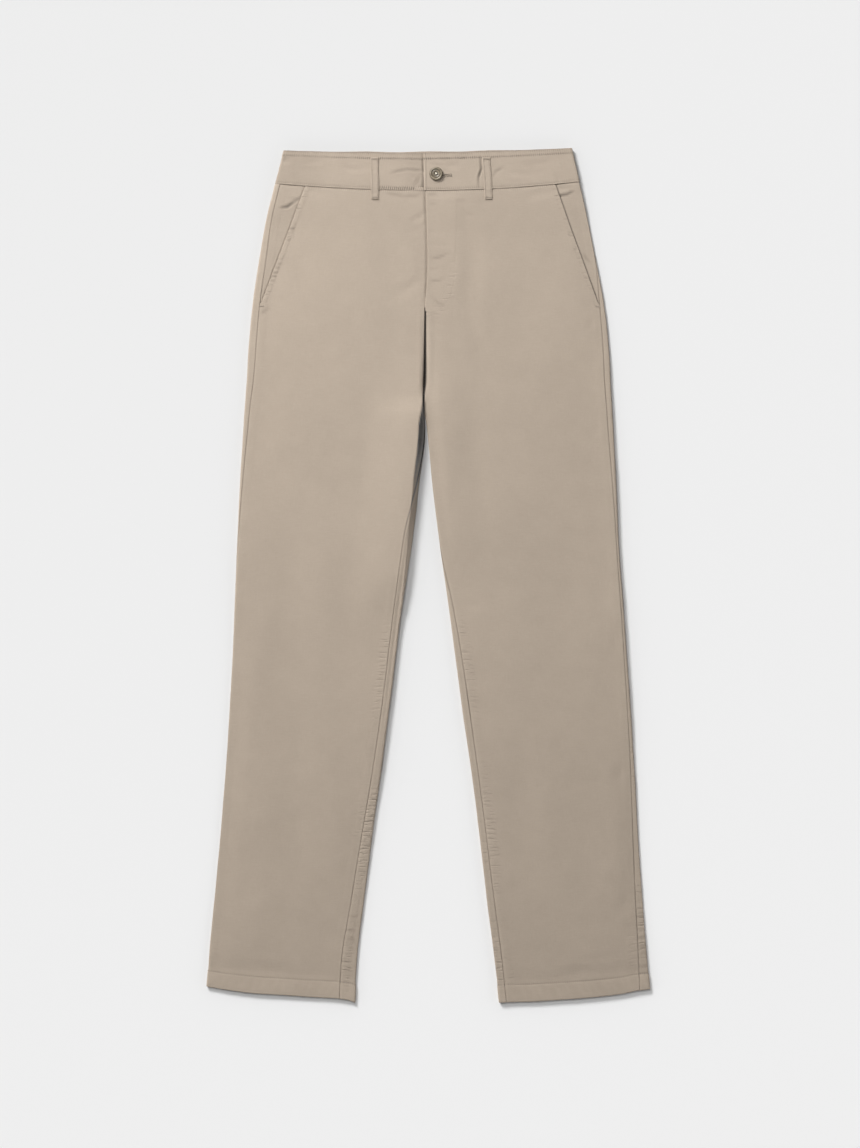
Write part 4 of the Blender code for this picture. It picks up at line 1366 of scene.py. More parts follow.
def twill_weave():
    """Diagonal ribs of warp over weft, with thick and thin places in the yarns."""
    if "twill weave" in bpy.data.node_groups:
        return bpy.data.node_groups["twill weave"]
    inputs = {"Cloth": None, "Pitch": 0.00055, "Rib height": 0.00005, "Slub": 1.0}
    tree, wires, given, wanted = group("twill weave", inputs, ("Height", "Tone"))
    cloth = given["Cloth"]
    across = wires.split(cloth)
    turns = wires.math("DIVIDE", 2 * math.pi, given["Pitch"])
    wobble = wires.times(wires.noise(cloth, 900.0, 1.0), 2.2)
    diagonal = wires.plus(wires.times(across["X"], 0.86), wires.times(across["Y"], -0.51))
    rib = wires.math("SINE", wires.times(diagonal, turns, wobble))
    yarn = wires.math("SINE", wires.times(across["Y"], wires.times(turns, 1.6), wobble))
    raised = wires.plus(wires.times(rib, 0.5), wires.times(yarn, 0.22))
    wires.put(wanted["Height"], wires.times(raised, given["Rib height"]))
    weft = wires.noise(wires.vector("MULTIPLY", cloth, (70.0, 1500.0, 1.0)), 1.0, 3.0, 0.6)
    warp = wires.noise(wires.vector("MULTIPLY", cloth, (1500.0, 60.0, 1.0)), 1.0, 3.0, 0.6)
    slubs = wires.plus(wires.times(weft, 1.2), wires.times(warp, 0.8))
    slubs = wires.times(wires.minus(slubs, 1.0), given["Slub"])
    wires.put(wanted["Tone"], wires.times(rib, 0.06, slubs))
    return tree


def gathered_cloth():
    """Ticks across a row of stitches, and wider puckers drawn up beside a seam, with painted shade in their
    hollows.
    """
    if "gathered cloth" in bpy.data.node_groups:
        return bpy.data.node_groups["gathered cloth"]
    inputs = {"Cloth": None, "Ticks": 0.0, "Puckers": 0.0, "Pitch": 0.0026}
    tree, wires, given, wanted = group("gathered cloth", inputs, ("Height", "Shade"))
    cloth = given["Cloth"]
    turns = wires.math("DIVIDE", 2 * math.pi, given["Pitch"])
    wander = wires.times(wires.noise(cloth, 60.0, 1.0), 5.0)
    wave = wires.math("SINE", wires.times(wires.split(cloth)["X"], turns, wander))
    uneven = wires.times(wires.ramp(wires.noise(cloth, 90.0, 1.0), 0.3, 0.65), 0.5, 0.5)
    ticks = wires.times(wires.times(wave, given["Ticks"]), uneven)
    stripes = wires.noise(wires.vector("MULTIPLY", cloth, (60.0, 330.0, 1.0)), 1.0, 1.0)
    stripes = wires.times(wires.ramp(stripes, 0.30, 0.55), 2.0, -1.0)
    stripes = wires.times(stripes, given["Puckers"])
    wires.put(wanted["Height"], wires.times(ticks, 0.00012, wires.times(stripes, 0.0002)))
    hollows = wires.times(wires.math("MINIMUM", stripes, 0.0), 0.42)
    # Shade is painted shade in the hollows of the ticks and puckers
    wires.put(wanted["Shade"], wires.times(wires.math("MINIMUM", ticks, 0.0), 1.3, hollows))
    return tree


def washed_and_shaded_colour():
    """Uneven fading: soft blotches, rubbed ridges and the cloth's own nap.

    The negative marks paint shade into the colour, down in creases, seams and hollows; the deepest
    painted shade is greyer between the legs, and black in the crease above the fork.
    """
    if "washed and shaded colour" in bpy.data.node_groups:
        return bpy.data.node_groups["washed and shaded colour"]
    inputs = {
        "Colour": (0.33, 0.27, 0.21, 1.0), "Place": None, "Wear and shade": 0.0, "Tone": 0.0,
        "Blotches": 0.05, "Rubbing": 0.16, "Painted crevice shade": 0.4, "Yarn contrast": 0.12,
    }
    tree, wires, given, wanted = group("washed and shaded colour", inputs, ("Colour", "Nap height", "Roughness"))
    place = given["Place"]
    broad = wires.noise(place, 7.0, 3.0, 0.55)
    small = wires.noise(place, 46.0, 3.0, 0.6)
    speck = wires.noise(place, 420.0, 2.0, 0.7)
    cloudy = wires.times(wires.minus(small, 0.5), 0.8, wires.minus(broad, 0.5))
    bright = wires.times(cloudy, given["Blotches"], 1.0)
    bright = wires.times(wires.minus(speck, 0.5), 0.08, bright)
    bright = wires.times(given["Tone"], given["Yarn contrast"], bright)
    rubbed = wires.math("MAXIMUM", given["Wear and shade"], 0.0)
    rubbed = wires.times(rubbed, wires.plus(small, 0.35))
    bright = wires.times(rubbed, given["Rubbing"], bright)
    # Painted shade: the negative marks darken the colour
    painted_shade = wires.math("MINIMUM", given["Wear and shade"], 0.0)
    bright = wires.times(painted_shade, given["Painted crevice shade"], bright)
    height = wires.split(place)["Y"]

    def shade(top, start, full):
        """1 where the cloth lies below top and its painted shade is as dark as full."""
        here = wires.ramp(height, top + 0.01, top - 0.01, "LINEAR")
        return wires.times(here, wires.ramp(painted_shade, start, full, "LINEAR"))

    grey = shade(GREY_BELOW, -0.7, -1.3)
    black = shade(BLACK_BELOW, -1.4, -1.9)
    shadow = wires.node("ShaderNodeHueSaturation", {
        "Saturation": wires.times(grey, -0.8, 1.0),
        "Value": wires.times(grey, -0.1, wires.times(black, -0.65, 1.0)),
        "Color": wires.tinted(given["Colour"], bright),
    })
    wires.put(wanted["Colour"], shadow.outputs[0])
    fuzz = wires.noise(place, 2600.0, 2.0, 0.7)
    nap = wires.plus(wires.times(small, 0.00012), wires.times(speck, 0.00006))
    wires.put(wanted["Nap height"], wires.times(fuzz, 0.00002, nap))
    wires.put(wanted["Roughness"], wires.times(rubbed, -0.08, 0.92))
    return tree


def new_material(name):
    made = bpy.data.materials.new(name)
    made.use_nodes = True
    made.node_tree.nodes.clear()
    wires = Wires(made.node_tree)
    shader = wires.node("ShaderNodeBsdfPrincipled")
    output = wires.node("ShaderNodeOutputMaterial")
    made.node_tree.links.new(shader.outputs["BSDF"], output.inputs["Surface"])
    return made, wires, shader


def grouped(wires, tree, inputs):
    made = wires.node("ShaderNodeGroup", node_tree=tree)
    for name, value in inputs.items():
        wires.put(made.inputs[name], value)
    return made.outputs


def bumped(wires, shader, height):
    """Joins a height in metres to the shader's normal."""
    made = wires.node("ShaderNodeBump", {"Strength": 1.0, "Distance": 1.0, "Height": height})
    wires.put(shader.inputs["Normal"], made.outputs["Normal"])


def evenly(shader, values):
    """Sets what is the same all over the surface."""
    for name, value in values.items():
        shader.inputs[name].default_value = value


def cloth_material(name, colour, slub, rubbing):
    """Brushed cotton twill."""
    if name in bpy.data.materials:
        return bpy.data.materials[name]
    made, wires, shader = new_material(name)
    chosen = settings()
    cloth = wires.node("ShaderNodeUVMap", uv_map="cloth").outputs["UV"]
    marks = wires.node("ShaderNodeAttribute", attribute_name="marks").outputs["Vector"]
    wear_and_shade, ticks, puckered = wires.split(marks)
    gathers = grouped(wires, gathered_cloth(), {
        "Cloth": cloth, "Ticks": ticks, "Puckers": puckered, "Pitch": trims().stitch_pitch})
    weave = grouped(wires, twill_weave(), {
        "Cloth": cloth, "Pitch": chosen.twill_pitch, "Rib height": chosen.rib_height, "Slub": slub})
    # The wear marks and the painted shade of creases, seams and gathers go into the colour
    wash_and_shade = grouped(wires, washed_and_shaded_colour(), {
        "Colour": (*colour, 1.0), "Place": wires.place(), "Wear and shade": wires.plus(wear_and_shade, gathers["Shade"]),
        "Tone": weave["Tone"], "Rubbing": rubbing, "Blotches": chosen.blotches})
    bumped(wires, shader, wires.plus(wires.plus(weave["Height"], wash_and_shade["Nap height"]), gathers["Height"]))
    wires.put(shader.inputs["Base Color"], wash_and_shade["Colour"])
    wires.put(shader.inputs["Roughness"], wash_and_shade["Roughness"])
    evenly(shader, {"Specular IOR Level": 0.18, "Sheen Weight": chosen.sheen,
                    "Sheen Roughness": 0.45, "Sheen Tint": (0.95, 0.9, 0.82, 1.0)})
    return made


def twill():
    return cloth_material("cotton twill", settings().colour, 1.0, 0.17)


def facing_twill():
    return cloth_material("pocket facing twill", settings().facing_colour, 1.1, 0.14)


def spun_thread(name, colour, blotches):
    made, wires, shader = new_material(name)
    wash_and_shade = grouped(wires, washed_and_shaded_colour(), {
        "Colour": (*colour, 1.0), "Place": wires.place(), "Blotches": blotches})
    wires.put(shader.inputs["Base Color"], wash_and_shade["Colour"])
    return made, wires, shader


def thread_material():
    """Spun sewing thread, close to the cloth's colour."""
    if "sewing thread" in bpy.data.materials:
        return bpy.data.materials["sewing thread"]
    made, wires, shader = spun_thread("sewing thread", trims().thread_colour, 0.12)
    bumped(wires, shader, wires.times(wires.noise(wires.place(), 5200.0, 2.0), 0.00005))
    evenly(shader, {"Roughness": 0.75, "Sheen Weight": 0.25})
    return made


def button_material():
    """Moulded horn-look plastic: brown-grey, streaked, satin, with painted shade in its groove, centre and
    outer edge.
    """
    made, wires, shader = new_material("button horn")
    place = wires.place()
    streak = wires.noise(wires.vector("MULTIPLY", place, (260.0, 620.0, 400.0)), 1.0, 4.0, 0.6)
    cloud = wires.noise(place, 320.0, 2.0)
    tone = wires.plus(wires.times(streak, 0.7), wires.times(cloud, 0.3))
    pale, dark = trims().button_colour, trims().button_dark
    colour = wires.mix(wires.ramp(tone, 0.36, 0.62), (*dark, 1.0), (*pale, 1.0))
    level = wires.vector("MULTIPLY", place, (1.0, 1.0, 0.0))
    out = wires.vector("DISTANCE", level, (BUTTON_X * MM, BUTTON_Y * MM, 0.0))
    off_groove = wires.math("ABSOLUTE", wires.minus(out, 0.0050))
    # Painted shade: darker in the groove, in the dish round the holes and down the outer edge
    painted_groove_shade = wires.math("MAXIMUM", wires.ramp(off_groove, 0.0010, 0.0003), wires.ramp(out, 0.0074, 0.0081))
    painted_groove_shade = wires.math("MAXIMUM", painted_groove_shade, wires.ramp(out, 0.0032, 0.0024))
    colour = wires.mix(wires.times(painted_groove_shade, 0.62), colour, (*[0.35 * c for c in dark], 1.0))
    scuff = wires.noise(place, 1900.0, 3.0, 0.7)
    wires.put(shader.inputs["Base Color"], colour)
    wires.put(shader.inputs["Roughness"], wires.times(scuff, 0.25, 0.32))
    bumped(wires, shader, wires.times(scuff, 0.00002))
    evenly(shader, {"Specular IOR Level": 0.45})
    return made


# ---- stitching -------------------------------------------------------------------------


def stitch_tree():
    """Stitches of thread along every edge of a mesh; its "out" vectors point off the cloth."""
    if "stitch row" in bpy.data.node_groups:
        return bpy.data.node_groups["stitch row"]
    tree = bpy.data.node_groups.new("stitch row", "GeometryNodeTree")
    sockets = (
        ("Rows", "NodeSocketGeometry", None),
        ("Pitch", "NodeSocketFloat", 0.003),
        ("Stitch length", "NodeSocketFloat", 0.0024),
        ("Thread", "NodeSocketFloat", 0.0004),
        ("Rise", "NodeSocketFloat", 0.0004),
        ("Turn", "NodeSocketFloat", 0.0),
        ("Unevenness", "NodeSocketFloat", 0.08),
        ("Seed", "NodeSocketInt", 1),
        ("Thread material", "NodeSocketMaterial", None),
    )
    for label, kind, value in sockets:
        socket = tree.interface.new_socket(label, in_out="INPUT", socket_type=kind)
        if value is not None:
            socket.default_value = value
    tree.interface.new_socket("Stitches", in_out="OUTPUT", socket_type="NodeSocketGeometry")
    wires = Wires(tree)
    given = wires.node("NodeGroupInput").outputs
    wanted = wires.node("NodeGroupOutput").inputs
    curve = wires.node("GeometryNodeMeshToCurve", {"Mesh": given["Rows"]})
    places = wires.node("GeometryNodeResampleCurve",
                        {"Curve": curve, "Length": given["Pitch"]}, mode="LENGTH")
    half = wires.times(given["Stitch length"], 0.5)
    sunk = wires.times(given["Thread"], -0.45)
    ends = [
        wires.node("ShaderNodeCombineXYZ", {"X": x, "Z": z})
        for x, z in ((wires.times(half, -1.0), sunk), (0.0, given["Rise"]), (half, sunk))
    ]
    arc = wires.node("GeometryNodeCurveQuadraticBezier",
                     {"Resolution": 4, "Start": ends[0], "Middle": ends[1], "End": ends[2]})
    round_it = wires.node("GeometryNodeCurvePrimitiveCircle",
                          {"Resolution": 5, "Radius": wires.times(given["Thread"], 0.5)})
    stitch = wires.node("GeometryNodeCurveToMesh", {
        "Curve": arc, "Profile Curve": round_it, "Fill Caps": True})
    along = wires.node("GeometryNodeInputTangent")
    outward = wires.node("GeometryNodeInputNamedAttribute", {"Name": "out"}, data_type="FLOAT_VECTOR")
    aligned = wires.node("FunctionNodeAxesToRotation",
                         {"Primary Axis": along, "Secondary Axis": outward.outputs["Attribute"]},
                         primary_axis="X", secondary_axis="Z")
    chance = wires.node("FunctionNodeRandomValue", {"Seed": given["Seed"]}, data_type="FLOAT")
    spread = wires.times(chance.outputs[1], 2.0, -1.0)
    spread = wires.times(spread, given["Unevenness"])
    turned = wires.node("FunctionNodeAxisAngleToRotation",
                        {"Axis": (0.0, 0.0, 1.0), "Angle": wires.plus(given["Turn"], spread)})
    rotation = wires.node("FunctionNodeRotateRotation",
                          {"Rotation": aligned, "Rotate By": turned}, rotation_space="LOCAL")
    size = wires.plus(spread, 1.0)
    placed = wires.node("GeometryNodeInstanceOnPoints", {
        "Points": places, "Instance": stitch, "Rotation": rotation, "Scale": size})
    real = wires.node("GeometryNodeRealizeInstances", {"Geometry": placed})
    smooth = wires.node("GeometryNodeSetShadeSmooth", {"Geometry": real})
    dressed = wires.node("GeometryNodeSetMaterial", {
        "Geometry": smooth, "Material": given["Thread material"]})
    wires.put(wanted["Stitches"], dressed)
    return tree


def stitches(rows, seed, **inputs):
    """A mesh of stitches along rows, each (points in metres, unit vectors off the cloth)."""
    guide = bpy.data.meshes.new("stitch guide")
    counts = [len(points) for points, _ in rows]
    starts = np.concatenate([[0], np.cumsum(counts)[:-1]])
    edges = [(int(s) + k, int(s) + k + 1) for s, n in zip(starts, counts) for k in range(n - 1)]
    guide.from_pydata(np.concatenate([points for points, _ in rows]).tolist(), edges, [])
    outward = guide.attributes.new("out", "FLOAT_VECTOR", "POINT")
    outward.data.foreach_set("vector", np.concatenate([out for _, out in rows]).astype(np.float32).ravel())
    carrier = new_object("stitch guide", guide)
    modifier = carrier.modifiers.new("stitch row", "NODES")
    modifier.node_group = stitch_tree()
    chosen = {
        "Pitch": trims().stitch_pitch,
        "Stitch length": 0.66 * trims().stitch_pitch,
        "Thread": trims().thread,
        "Rise": 0.75 * trims().thread,
        "Seed": seed,
        "Thread material": thread_material(),
        **inputs,
    }
    for item in stitch_tree().interface.items_tree:
        if item.in_out == "INPUT" and item.name in chosen:
            modifier[item.identifier] = chosen[item.name]
    graph = bpy.context.evaluated_depsgraph_get()
    made = bpy.data.meshes.new_from_object(carrier.evaluated_get(graph))
    bpy.data.objects.remove(carrier)
    bpy.data.meshes.remove(guide)
    return made


def stitching_piece(name, meshes):
    """One piece of stitching, from the meshes of its rows."""
    joined = bmesh.new()
    for mesh in meshes:
        joined.from_mesh(mesh)
        bpy.data.meshes.remove(mesh)
    bmesh.ops.recalc_face_normals(joined, faces=joined.faces)
    for corner in joined.verts:
        corner.co.z = max(corner.co.z, 0.0)
    whole = as_mesh(name, joined)
    whole.materials.clear()
    whole.materials.append(thread_material())
    whole.shade_smooth()
    made = new_object(name, whole)
    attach(made, "root")
    return made


def on_cloth(cloth, v, g):
    """A row of places on a piece, a little above it."""
    points, normals, _ = cloth.at(*np.broadcast_arrays(np.asarray(v, float), np.asarray(g, float)))
    lift = 0.25 * trims().thread
    return points * MM + normals * lift, normals


def on_front(side, line, step=1.0):
    """A row through points (x, y) of the front panel."""
    points = np.array(line)
    lengths = np.concatenate([[0.0], np.cumsum(np.hypot(*np.diff(points, axis=0).T))])
    places = np.linspace(0.0, lengths[-1], max(2, int(lengths[-1] / step)))
    x = curve_through(lengths, points[:, 0], places)
    y = curve_through(lengths, points[:, 1], places)
    v, g = SKINS[side].locate(x, y)
    return on_cloth(front_cloth(side), v, g)


BAR = {"Pitch": 0.00045, "Stitch length": 0.0022, "Turn": math.pi / 2, "Unevenness": 0.12}


def build_front_stitching(side):
    skin = SKINS[side]
    cloth = front_cloth(side)
    hem_v = skin.hem + settings().hem_depth / MM
    start, end = front_starts(skin, hem_v), front_ends(skin, hem_v)
    rows = [on_cloth(cloth, hem_v, np.arange(start + 0.8, end - 0.5, 1.2))]
    v = np.arange(POCKET_BOTTOM_Y - 1.0, skin.waist + 0.5, 1.5)
    rows.append(on_cloth(cloth, v, pocket_line(skin, v) + POCKET_STITCH))
    meshes = [stitches(rows[:1], 11), stitches(rows[1:], 22, Thread=0.0003, Rise=0.00015)]
    if side == "left":
        meshes.append(stitches([on_front(side, FLY_STITCH)], 21, Thread=0.0003, Rise=0.0001))
    v = np.full(8, POCKET_BOTTOM_Y - 3.4)
    g = skin.at("outseam", v) + np.linspace(-0.5, 5.6, 8)
    meshes.append(stitches([on_cloth(cloth, v, g)], 12, **BAR))
    return stitching_piece("stitching_front_" + side, meshes)


def build_back_stitching(side):
    skin = SKINS[side]
    hem_v = skin.hem + settings().hem_depth / MM
    start = skin.at("outseam", hem_v)
    end = -skin.over_length(hem_v) - skin.at("inseam", hem_v)
    g = np.arange(start - 0.8, end + 0.5, -1.2)
    return stitching_piece("stitching_back_" + side, [stitches([on_cloth(back_cloth(side), hem_v, g)], 13)])


def build_band_stitching(side):
    skin = SKINS[side]
    cloth = Cloth(skin, band_relief)
    top, low = skin.top - BAND_TOP_STITCH, skin.waist + BAND_LOW_STITCH
    lap = skin.over_length(low) - (LAP_STITCH if side == "left" else 5.0)
    g = np.arange(-BAND_SEAM_PAST_FOLD + 0.8, float(lap), 1.2)
    rows = [on_cloth(cloth, top, g), on_cloth(cloth, low, g)]
    if side == "right":
        return stitching_piece("stitching_waistband_front_right", [stitches(rows, 14)])
    v = np.arange(low, top, 1.5)
    rows.append(on_cloth(cloth, v, skin.over_length(v) - LAP_STITCH))
    meshes = [stitches(rows, 15)]
    x = np.linspace(BUTTONHOLE_ENDS[0], BUTTONHOLE_ENDS[1], 24)
    purl = []
    for off in (-1.25, 1.25):
        v, g = skin.locate(x, np.full_like(x, BUTTONHOLE_Y + off))
        purl.append(on_cloth(cloth, v, g))
    y = BUTTONHOLE_Y + np.linspace(-1.9, 1.9, 8)
    meshes.append(stitches(purl, 16, **{**BAR, "Pitch": 0.00052, "Stitch length": 0.0019}))
    v, g = skin.locate(np.full_like(y, BUTTONHOLE_ENDS[1] + 0.5), y)
    meshes.append(stitches([on_cloth(cloth, v, g)], 17, **{**BAR, "Stitch length": 0.0018}))
    return stitching_piece("stitching_waistband_front_left", meshes)


def build_back_band_stitching():
    rows = []
    for side in ("right", "left"):
        skin = SKINS[side]
        cloth = Cloth(skin, back_band_relief)
        over = skin.over_length(skin.waist)
        g = -np.arange(BAND_SEAM_PAST_FOLD + 0.8, float(over) - 1.0, 1.2)
        rows.append(on_cloth(cloth, skin.top - BAND_TOP_STITCH, g))
        rows.append(on_cloth(cloth, skin.waist + BAND_LOW_STITCH, g))
    return stitching_piece("stitching_waistband_back", [stitches(rows, 18)])


def build_loop_stitching(name, x_top, x_bottom, front):
    """Two rows along the loop, and a bar across each end."""
    down = np.linspace(0.04, 0.96, 36)
    side = LOOP_WIDTH / 2 - LOOP_STITCH
    across = np.linspace(-LOOP_WIDTH / 2 + 0.8, LOOP_WIDTH / 2 - 0.8, 10)
    end = LOOP_BAR / (LOOP_TOP_Y - LOOP_BOTTOM_Y)

    def row(share, offset):
        share, offset = np.broadcast_arrays(share, offset)
        points = loop_points(x_top, x_bottom, share, offset, front)
        up = np.zeros(points.shape)
        up[:, 2] = 1.0 if front else -1.0
        return points * MM + up * 0.2 * trims().thread, up

    runs = stitches([row(down, side), row(down, -side)], 19)
    bar = {**BAR, "Stitch length": 0.0017}
    top = stitches([row(end, across)], 20, **bar, Thread=0.00028, Rise=0.0001)
    bottom = stitches([row(1 - end, across)], 23, **bar)
    return stitching_piece("stitching_" + name, [runs, top, bottom])


# ---- button ----------------------------------------------------------------------------


def new_object(name, data):
    made = bpy.data.objects.new(name, data)
    bpy.context.scene.collection.objects.link(made)
    return made


def as_mesh(name, form):
    """Turns a finished bmesh into a mesh."""
    mesh = bpy.data.meshes.new(name)
    form.to_mesh(mesh)
    form.free()
    return mesh


def turned_mesh(name, profile, steps):
    """A closed form turned round Z from a profile that starts and ends on the axis."""
    turning = bmesh.new()
    rings = []
    for radius, height in profile:
        if radius == 0.0:
            rings.append([turning.verts.new((0.0, 0.0, height * MM))])
            continue
        angles = [2 * math.pi * k / steps for k in range(steps)]
        rings.append([
            turning.verts.new((radius * MM * math.cos(a), radius * MM * math.sin(a), height * MM))
            for a in angles
        ])
    for above, below in zip(rings, rings[1:]):
        for k in range(steps):
            after = (k + 1) % steps
            corners = [above[k % len(above)], below[k % len(below)],
                       below[after % len(below)], above[after % len(above)]]
            turning.faces.new(list(dict.fromkeys(corners)))
    bmesh.ops.recalc_face_normals(turning, faces=turning.faces)
    return as_mesh(name, turning)


def thread_hole_cutter():
    holes = bmesh.new()
    for k in range(4):
        turn = math.radians(45 + 90 * k)
        place = Matrix.Translation((
            THREAD_HOLE_OFFSET * MM * math.cos(turn), THREAD_HOLE_OFFSET * MM * math.sin(turn), 0.001))
        bmesh.ops.create_cone(holes, cap_ends=True, segments=20, radius1=THREAD_HOLE_RADIUS * MM,
                              radius2=THREAD_HOLE_RADIUS * MM, depth=0.008, matrix=place)
    return new_object("thread holes", as_mesh("thread holes", holes))


def button_place():
    """Where the button stands: tilted, its outer side raised, on its shank."""
    base = SKINS["left"].locate(BUTTON_X, BUTTON_Y)
    points, _, _ = Cloth(SKINS["left"], band_relief).at(*base)
    height = float(points[..., 2]) + BUTTON_CLEAR
    middle = Vector((BUTTON_X, BUTTON_Y, height)) * MM
    return Matrix.Translation(middle) @ Matrix.Rotation(-BUTTON_TILT, 4, "Y")


def build_button():
    body = new_object("button blank", turned_mesh("button blank", BUTTON_PROFILE, BUTTON_STEPS))
    cutter = thread_hole_cutter()
    holes = body.modifiers.new("holes", "BOOLEAN")
    holes.operation = "DIFFERENCE"
    holes.solver = "EXACT"
    holes.object = cutter
    graph = bpy.context.evaluated_depsgraph_get()
    mesh = bpy.data.meshes.new_from_object(body.evaluated_get(graph))
    mesh.name = "button"
    for spare in (body, cutter):
        bpy.data.objects.remove(spare)
    mesh.transform(button_place())
    mesh.materials.clear()
    mesh.materials.append(button_material())
    mesh.shade_smooth()
    mesh.set_sharp_from_angle(angle=math.radians(35))
    made = new_object("button", mesh)
    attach(made, "root")
    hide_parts("waist_button")
    return made


def tube(joined, line, radius, sides=7):
    """A round thread with closed ends through points, added to a bmesh."""
    points = [Vector(p) for p in line]
    rings = []
    for k, point in enumerate(points):
        ahead = (points[min(k + 1, len(points) - 1)] - points[max(k - 1, 0)]).normalized()
        first = ahead.orthogonal().normalized()
        second = ahead.cross(first)
        rings.append([
            joined.verts.new(point + radius * (math.cos(a) * first + math.sin(a) * second))
            for a in (2 * math.pi * s / sides for s in range(sides))
        ])
    for before, after in zip(rings, rings[1:]):
        for s in range(sides):
            n = (s + 1) % sides
            joined.faces.new((before[s], before[n], after[n], after[s]))
    joined.faces.new(rings[0][::-1])
    joined.faces.new(rings[-1])


def build_button_thread():
    """Thread through the four holes, and the wound shank down to the band."""
    joined = bmesh.new()
    reach = THREAD_HOLE_OFFSET * math.cos(math.radians(45))
    face = BUTTON_PROFILE[0][1]
    radius = 0.2 * MM
    for sign in (1, -1):
        for strand in (-0.22, 0.22):
            line = []
            for t in np.linspace(-1.0, 1.0, 9):
                along = t * (reach + 0.15)
                rise = face + 0.62 - 1.5 * abs(t) ** 4 + 0.2 * (sign > 0)
                line.append(np.array((along - strand * sign, sign * along + strand, rise)) * MM)
            tube(joined, line, radius)
    shank = turned_mesh("shank", ((0.0, 0.4), (1.1, 0.4), (1.2, -1.4), (1.3, -3.2), (0.0, -3.2)), 16)
    joined.from_mesh(shank)
    bpy.data.meshes.remove(shank)
    bmesh.ops.recalc_face_normals(joined, faces=joined.faces)
    joined.transform(button_place())
    mesh = as_mesh("button_thread", joined)
    mesh.materials.append(button_thread_material())
    mesh.shade_smooth()
    made = new_object("button_thread", mesh)
    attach(made, "root")
    return made


def button_thread_material():
    made, _, shader = spun_thread("button thread", trims().button_thread_colour, 0.1)
    evenly(shader, {"Roughness": 0.7, "Sheen Weight": 0.2})
    return made


# ---- studio ----------------------------------------------------------------------------


def lamps():
    """Each lamp's name, light, place and elevation; both stand beyond the waist, to its right."""
    chosen = studio()
    made = []
    for name, light, elevation in (("key_light", chosen.key_light, chosen.key_elevation),
                                   ("high_light", chosen.high_light, chosen.high_elevation)):
        level = chosen.lamp_distance * math.cos(elevation)
        place = Vector((-level * math.sin(chosen.heading), level * math.cos(chosen.heading),
                        chosen.lamp_distance * math.sin(elevation)))
        made.append((name, light, place, elevation))
    return made


def build_floor():
    """A round floor of one even tone: paler paint and a little glow away from the lamps."""
    made, wires, shader = new_material("studio floor")
    chosen = studio()
    place = wires.place()
    light = chosen.fill_light
    for _, strength, lamp, _ in lamps():
        distance = wires.vector("DISTANCE", place, tuple(lamp))
        nearness = wires.math("POWER", wires.math("DIVIDE", lamp.length, distance), 3.0)
        sideways = wires.vector("DOT_PRODUCT", place, tuple(lamp.normalized()))
        facing = wires.math("DIVIDE", wires.minus(lamp.length, sideways), distance)
        facing = wires.math("MAXIMUM", facing, 0.0)
        light = wires.times(wires.times(nearness, facing), strength, light)
    paint = wires.math("MINIMUM", wires.math("DIVIDE", chosen.floor_tone, light), FLOOR_PALEST)
    lacking = wires.times(light, -FLOOR_PALEST, chosen.floor_tone)
    glow = wires.math("MAXIMUM", lacking, 0.0)
    for name, value in (("Base Color", paint), ("Emission Color", glow)):
        grey = wires.node("ShaderNodeCombineColor", {"Red": value, "Green": value, "Blue": value})
        wires.put(shader.inputs[name], grey.outputs[0])
    evenly(shader, {"Emission Strength": 1.0, "Roughness": 1.0, "Specular IOR Level": 0.0})
    disc = bmesh.new()
    bmesh.ops.create_circle(disc, cap_ends=True, segments=96, radius=FLOOR_RADIUS)
    mesh = as_mesh("studio_floor", disc)
    mesh.materials.append(made)
    floor = new_object("studio_floor", mesh)


def build_world():
    """Soft light from low down all round, seen by the camera as the floor's tone."""
    world = bpy.data.worlds.new("studio")
    bpy.context.scene.world = world
    world.use_nodes = True
    world.node_tree.nodes.clear()
    wires = Wires(world.node_tree)
    tone = studio().floor_tone
    up = wires.split(wires.node("ShaderNodeTexCoord").outputs["Generated"])["Z"]
    low, high = SKY_BAND
    share = (low * low + low * high + high * high) / 3
    strength = wires.times(wires.ramp(up, high, low), studio().fill_light / share)
    light = wires.node("ShaderNodeBackground", {"Color": (1.0, 1.0, 1.0, 1.0), "Strength": strength})
    seen = wires.node("ShaderNodeBackground", {"Color": (tone, tone, tone, 1.0), "Strength": 1.0})
    path = wires.node("ShaderNodeLightPath")
    mixed = wires.node("ShaderNodeMixShader")
    wires.put(mixed.inputs[0], path.outputs["Is Camera Ray"])
    wires.put(mixed.inputs[1], light.outputs[0])
    wires.put(mixed.inputs[2], seen.outputs[0])
    output = wires.node("ShaderNodeOutputWorld")
    wires.put(output.inputs["Surface"], mixed.outputs[0])


def build_lamps():
    """Round soft lamps, each as strong as a white floor under it should be lit."""
    chosen = studio()
    spread = 1 + (0.5 * chosen.lamp_size / chosen.lamp_distance) ** 2
    for name, light, place, elevation in lamps():
        lamp = bpy.data.lights.new(name, "AREA")
        lamp.shape = "DISK"
        lamp.size = chosen.lamp_size
        lamp.energy = light * math.pi**2 * chosen.lamp_distance**2 * spread / math.sin(elevation)
        made = new_object(name, lamp)
        made.location = place
        made.rotation_euler = (-place).to_track_quat("-Z", "Y").to_euler()
        made.visible_camera = False


def build_camera():
    camera = bpy.data.cameras.new("camera")
    camera.lens = CAMERA_LENS
    camera.sensor_width = CAMERA_SENSOR
    camera.clip_end = 100.0
    made = new_object("camera", camera)
    made.location = CAMERA_PLACE
    bpy.context.scene.camera = made
    bpy.context.scene.view_settings.view_transform = "Standard"


# ---- add-on ----------------------------------------------------------------------------


def length(name, description, default, precision=4):
    return FloatProperty(
        name=name, description=description, default=default, unit="LENGTH", precision=precision)


def amount(name, description, default, **limits):
    return FloatProperty(name=name, description=description, default=default, min=0.0, **limits)


def angle(name, description, degrees):
    return FloatProperty(
        name=name, description=description, default=math.radians(degrees), subtype="ANGLE")


def tint(name, description, default):
    return FloatVectorProperty(
        name=name, description=description, default=default, subtype="COLOR", size=3, min=0.0, max=1.0)


